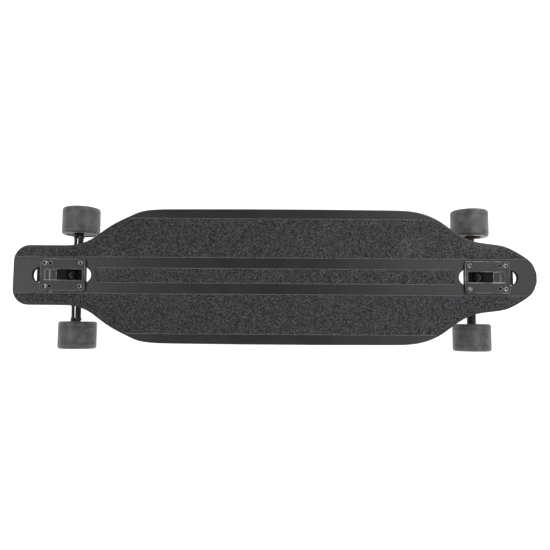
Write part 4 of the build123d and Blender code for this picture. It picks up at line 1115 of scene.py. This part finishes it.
@dataclass
class Truck:
    """A cast truck: baseplate, hanger, kingpin with its bushings, bolts and axle."""

    end: TruckEnd
    plate_round: float = 0.0006
    casting_round: float = 0.0012
    steel_round: float = 0.0004
    bolt_round: float = 0.0005
    bushing_round: float = 0.0012
    ring: Point = (0.384, 0.0, 0.075)
    ring_half: float = 0.004

    def build(self) -> None:
        """Make every piece of the truck."""
        tag = self.end.value
        steer = f"{tag}_steer"
        self.piece("baseplate", "board", PLATE, self.plate_round, PLATE_RIM)
        self.piece("pivot_cup", "board", CUP, self.steel_round)
        for part in ("boardside_bushing", "roadside_bushing"):
            self.bushing(part, steer)
        for part in ("kingpin", "kingpin_hardware"):
            self.piece(part, "board", BLACK_STEEL, self.steel_round)
        self.piece("truck_bolts", "board", BOLT, self.bolt_round, BOLT_RIM)
        self.piece("hanger", steer, CAST, self.casting_round)
        self.piece("axle", steer, AXLE, self.steel_round)
        self.piece("axle_hardware", steer, ZINC, self.steel_round)

    def piece(self, part: str, body: str, finish: Finish, width: float, rim: Finish | None = None) -> None:
        """Round the edges of one CAD part of this truck and hand it over.

        Args:
            part: the part's name in this truck.
            body: the CAD body that it moves with.
            finish: what it is covered with.
            width: of the rounding, in metres.
            rim: a second finish for the rounded edges.
        """
        node = f"{self.end.value}_{part}"
        settle(softened(f"{node}_finished", node, finish, width, rim), body, [node])

    def bushing(self, part: str, steer: str) -> None:
        """Round a bushing's edges and leave it where the CAD part stands, tied to no body.

        Args:
            part: the bushing's name in this truck.
            steer: the CAD body of the hanger; not used.
        """
        node = f"{self.end.value}_{part}"
        piece = softened(f"{node}_finished", node, RUBBER, self.bushing_round, segments=3)
        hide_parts(node)
        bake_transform(piece)
        LOG.info("%s: squeezed between the board and the hanger", piece.name)


# ---------------- wheels
class Side(Enum):
    """The rider's side of the board."""

    LEFT = "left"
    RIGHT = "right"


@dataclass
class Wheel:
    """What both kinds of wheel share: a urethane tyre, with turned grooves, and two bearings."""

    side: Side
    end: TruckEnd
    lip: float = 0.0045
    lip_share: float = 0.8
    lip_steps: int = 7
    round_steps: int = 128
    groove_depth: float = 0.0003
    groove_width: float = 0.0007
    grooves: tuple[float, ...] = (-0.0155, -0.0145, 0.0145, 0.0155)
    groove_shape: tuple[Spot, ...] = ((-1, 0), (-0.4, 1), (0.4, 1), (1, 0))
    bead: float = 0.0008
    part_round: float = 0.0005

    @property
    def name(self) -> str:
        """The wheel's name, as in its CAD nodes.

        Returns:
            The end and the side that it is at.
        """
        return f"{self.end.value}_{self.side.value}"

    @property
    def body(self) -> str:
        """The CAD body that the wheel turns with.

        Returns:
            The body's name.
        """
        return f"{self.name}_wheel"

    def bore(self) -> float:
        """Measure what the tyre sits on.

        Returns:
            The radius of the tyre's bore.
        """
        raise NotImplementedError

    def tyre_profile(self, half: float, outer: float) -> list[Spot]:
        """Draw the tyre's section.

        Args:
            half: half the tyre's width.
            outer: the tyre's radius.

        Returns:
            Its points, as (distance from the tyre's middle, radius).
        """
        bore = self.bore()
        lip = min(self.lip, (outer - bore) * self.lip_share)
        section = [(-half, bore + self.bead), (-half, outer - lip)]
        section += rounded((-half, outer), (-half, bore), (0, outer), lip, self.lip_steps)
        for spot in self.grooves:
            for shift, drop in self.groove_shape:
                along = spot + shift * self.groove_width / 2
                section.append((along, outer - drop * self.groove_depth))
        section += rounded((half, outer), (0, outer), (half, bore), lip, self.lip_steps)
        section += [(half, bore + self.bead), (half - self.bead, bore), (self.bead - half, bore)]
        return section

    def make_tyre(self) -> None:
        """Spin the tyre in its CAD place."""
        node = f"{self.name}_tyre"
        low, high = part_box(node)
        middle = (low + high) / 2
        profile = self.tyre_profile((high.y - low.y) / 2, (high.z - low.z) / 2)
        tyre = turned(f"{node}_cast", profile, middle, (0, 1, 0), URETHANE, self.round_steps)
        settle(tyre, self.body, [node])

    def piece(self, part: str, finish: Finish, rim: Finish | None = None, body: str | None = None) -> None:
        """Round the edges of one CAD part of this wheel and hand it over.

        Args:
            part: the part's name in this wheel.
            finish: what it is covered with.
            rim: a second finish for the rounded edges.
            body: the CAD body that it moves with, if not the wheel's own.
        """
        node = f"{self.name}_{part}"
        piece = softened(f"{node}_finished", node, finish, self.part_round, rim)
        settle(piece, body or self.body, [node])


@dataclass
class FrontWheel(Wheel):
    """A free-rolling wheel on a spoked nylon core."""

    def bore(self) -> float:
        """Measure the core, which the tyre is cast on.

        Returns:
            The radius of the tyre's bore.
        """
        low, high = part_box(f"{self.name}_core")
        return (high.z - low.z) / 2 + BORE_CLEARANCE

    def build(self) -> None:
        """Make the tyre, the core and the bearings."""
        self.make_tyre()
        self.piece("core", NYLON)
        self.piece("bearings", BEARING_STEEL, SEAL)


@dataclass
class MotorWheel(Wheel):
    """A driven wheel: a urethane sleeve on the can of a hub motor."""

    def bore(self) -> float:
        """Measure the motor's can, which the sleeve is pressed on.

        Returns:
            The radius of the sleeve's bore.
        """
        low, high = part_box(f"{self.name}_rotor_can")
        return (high.z - low.z) / 2 + BORE_CLEARANCE

    def build(self) -> None:
        """Make the sleeve, the motor's turning parts and its fixed stator."""
        self.make_tyre()
        self.piece("rotor_can", CAN, CAN_RIM)
        self.piece("hub_cap", CAN, CAN_RIM)
        self.piece("bearings", BEARING_STEEL, SEAL)
        self.piece("stator", STATOR, body="rear_steer")
        dress(f"{self.name}_magnets", MAGNET)


# ---------------- motor cables
@dataclass
class MotorCable:
    """A motor's cable, from the motor along the hanger and up into the battery box."""

    side: Side
    radius: float = 0.0029
    span_steps: int = 16
    round_steps: int = 6
    sharp: float = 40.0
    collar_steps: int = 40
    route: tuple[Point, ...] = (
        (-0.3802, 0.0841, 0.039), (-0.3802, 0.062, 0.039), (-0.3800, 0.045, 0.0435),
        (-0.373, 0.036, 0.053), (-0.353, 0.033, 0.061), (-0.321, 0.034, 0.067),
        (-0.287, 0.035, 0.075), (-0.273, 0.035, 0.076),
    )
    collar: tuple[Spot, ...] = (
        (0.0, 0.0030), (0.0, 0.0044), (-0.0008, 0.0047), (-0.0024, 0.0045), (-0.0036, 0.0038),
        (-0.0038, 0.0030),
    )

    def build(self) -> None:
        """Make the cable and the collar where it leaves the motor."""
        way = 1 if self.side is Side.LEFT else -1
        points = [(x, way * y, z) for x, y, z in self.route]
        node = f"{self.side.value}_motor_cable"
        curve = bpy.data.curves.new(node, "CURVE")
        curve.dimensions = "3D"
        spline = curve.splines.new("NURBS")
        spline.points.add(len(points) - 1)
        for spot, point in zip(spline.points, points):
            spot.co = (*point, 1.0)
        spline.order_u = 3
        spline.use_endpoint_u = True
        spline.resolution_u = self.span_steps
        curve.bevel_depth = self.radius
        curve.bevel_resolution = self.round_steps
        curve.use_fill_caps = True
        cable = bpy.data.objects.new(f"{node}_jacket", curve)
        bpy.context.scene.collection.objects.link(cable)
        pick(cable)
        bpy.ops.object.convert(target="MESH")
        cable = bpy.context.view_layer.objects.active
        cable.data.materials.clear()
        cable.data.materials.append(JACKET.material())
        smooth(cable, self.sharp)
        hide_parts(node)
        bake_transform(cable)
        LOG.info("%s: bends between the rear hanger and the board", cable.name)
        profile = [(along * way, reach) for along, reach in self.collar]
        ring = turned(f"{node}_collar", profile, points[0], (0, 1, 0), CLIP, self.collar_steps)
        settle(ring, "rear_steer")


# ---------------- battery box
@dataclass
class BatteryBox:
    """The box under the deck, with its screws, glands and side panel."""

    parts: tuple[tuple[str, str, Finish, float], ...] = (
        ("box_shell", "board", BOX, 0.0007),
        ("box_screws", "board", BLACK_STEEL, 0.0004),
        ("cable_glands", "board", GLAND, 0.0008),
        ("cable_clips", "rear_steer", CLIP, 0.0003),
        ("charge_port", "board", PORT, 0.0003),
        ("charge_cap", "charge_cap", CAP, 0.0004),
        ("power_switch", "board", SWITCH, 0.0003),
        ("power_button", "power_button", BUTTON, 0.0004),
        ("status_light", "board", LENS, 0.0003),
    )
    inside: tuple[tuple[str, Finish], ...] = (
        ("box_gasket", GASKET), ("battery_tray", TRAY), ("battery_cells", CELL),
        ("battery_wiring", NICKEL), ("balance_board", BOARD), ("controller_board", BOARD),
        ("heat_sink", SINK),
    )

    def build(self) -> None:
        """Make the outside pieces and dress what the box holds."""
        for node, body, finish, width in self.parts:
            settle(softened(f"{node}_finished", node, finish, width), body, [node])
        for node, finish in self.inside:
            dress(node, finish)


def main() -> None:
    """Build the studio and every part of the board, in order."""
    logging.basicConfig(level=logging.INFO, format="%(message)s", stream=sys.stdout)
    builders: list[Callable[[], None]] = [Studio().build, Plank().build]
    builders += [Truck(end).build for end in TruckEnd]
    for side in Side:
        builders += [FrontWheel(side, TruckEnd.FRONT).build, MotorWheel(side, TruckEnd.REAR).build]
        builders += [MotorCable(side).build]
    builders += [BatteryBox().build]
    for build in builders:
        build()


if __name__ == "__main__":
    main()
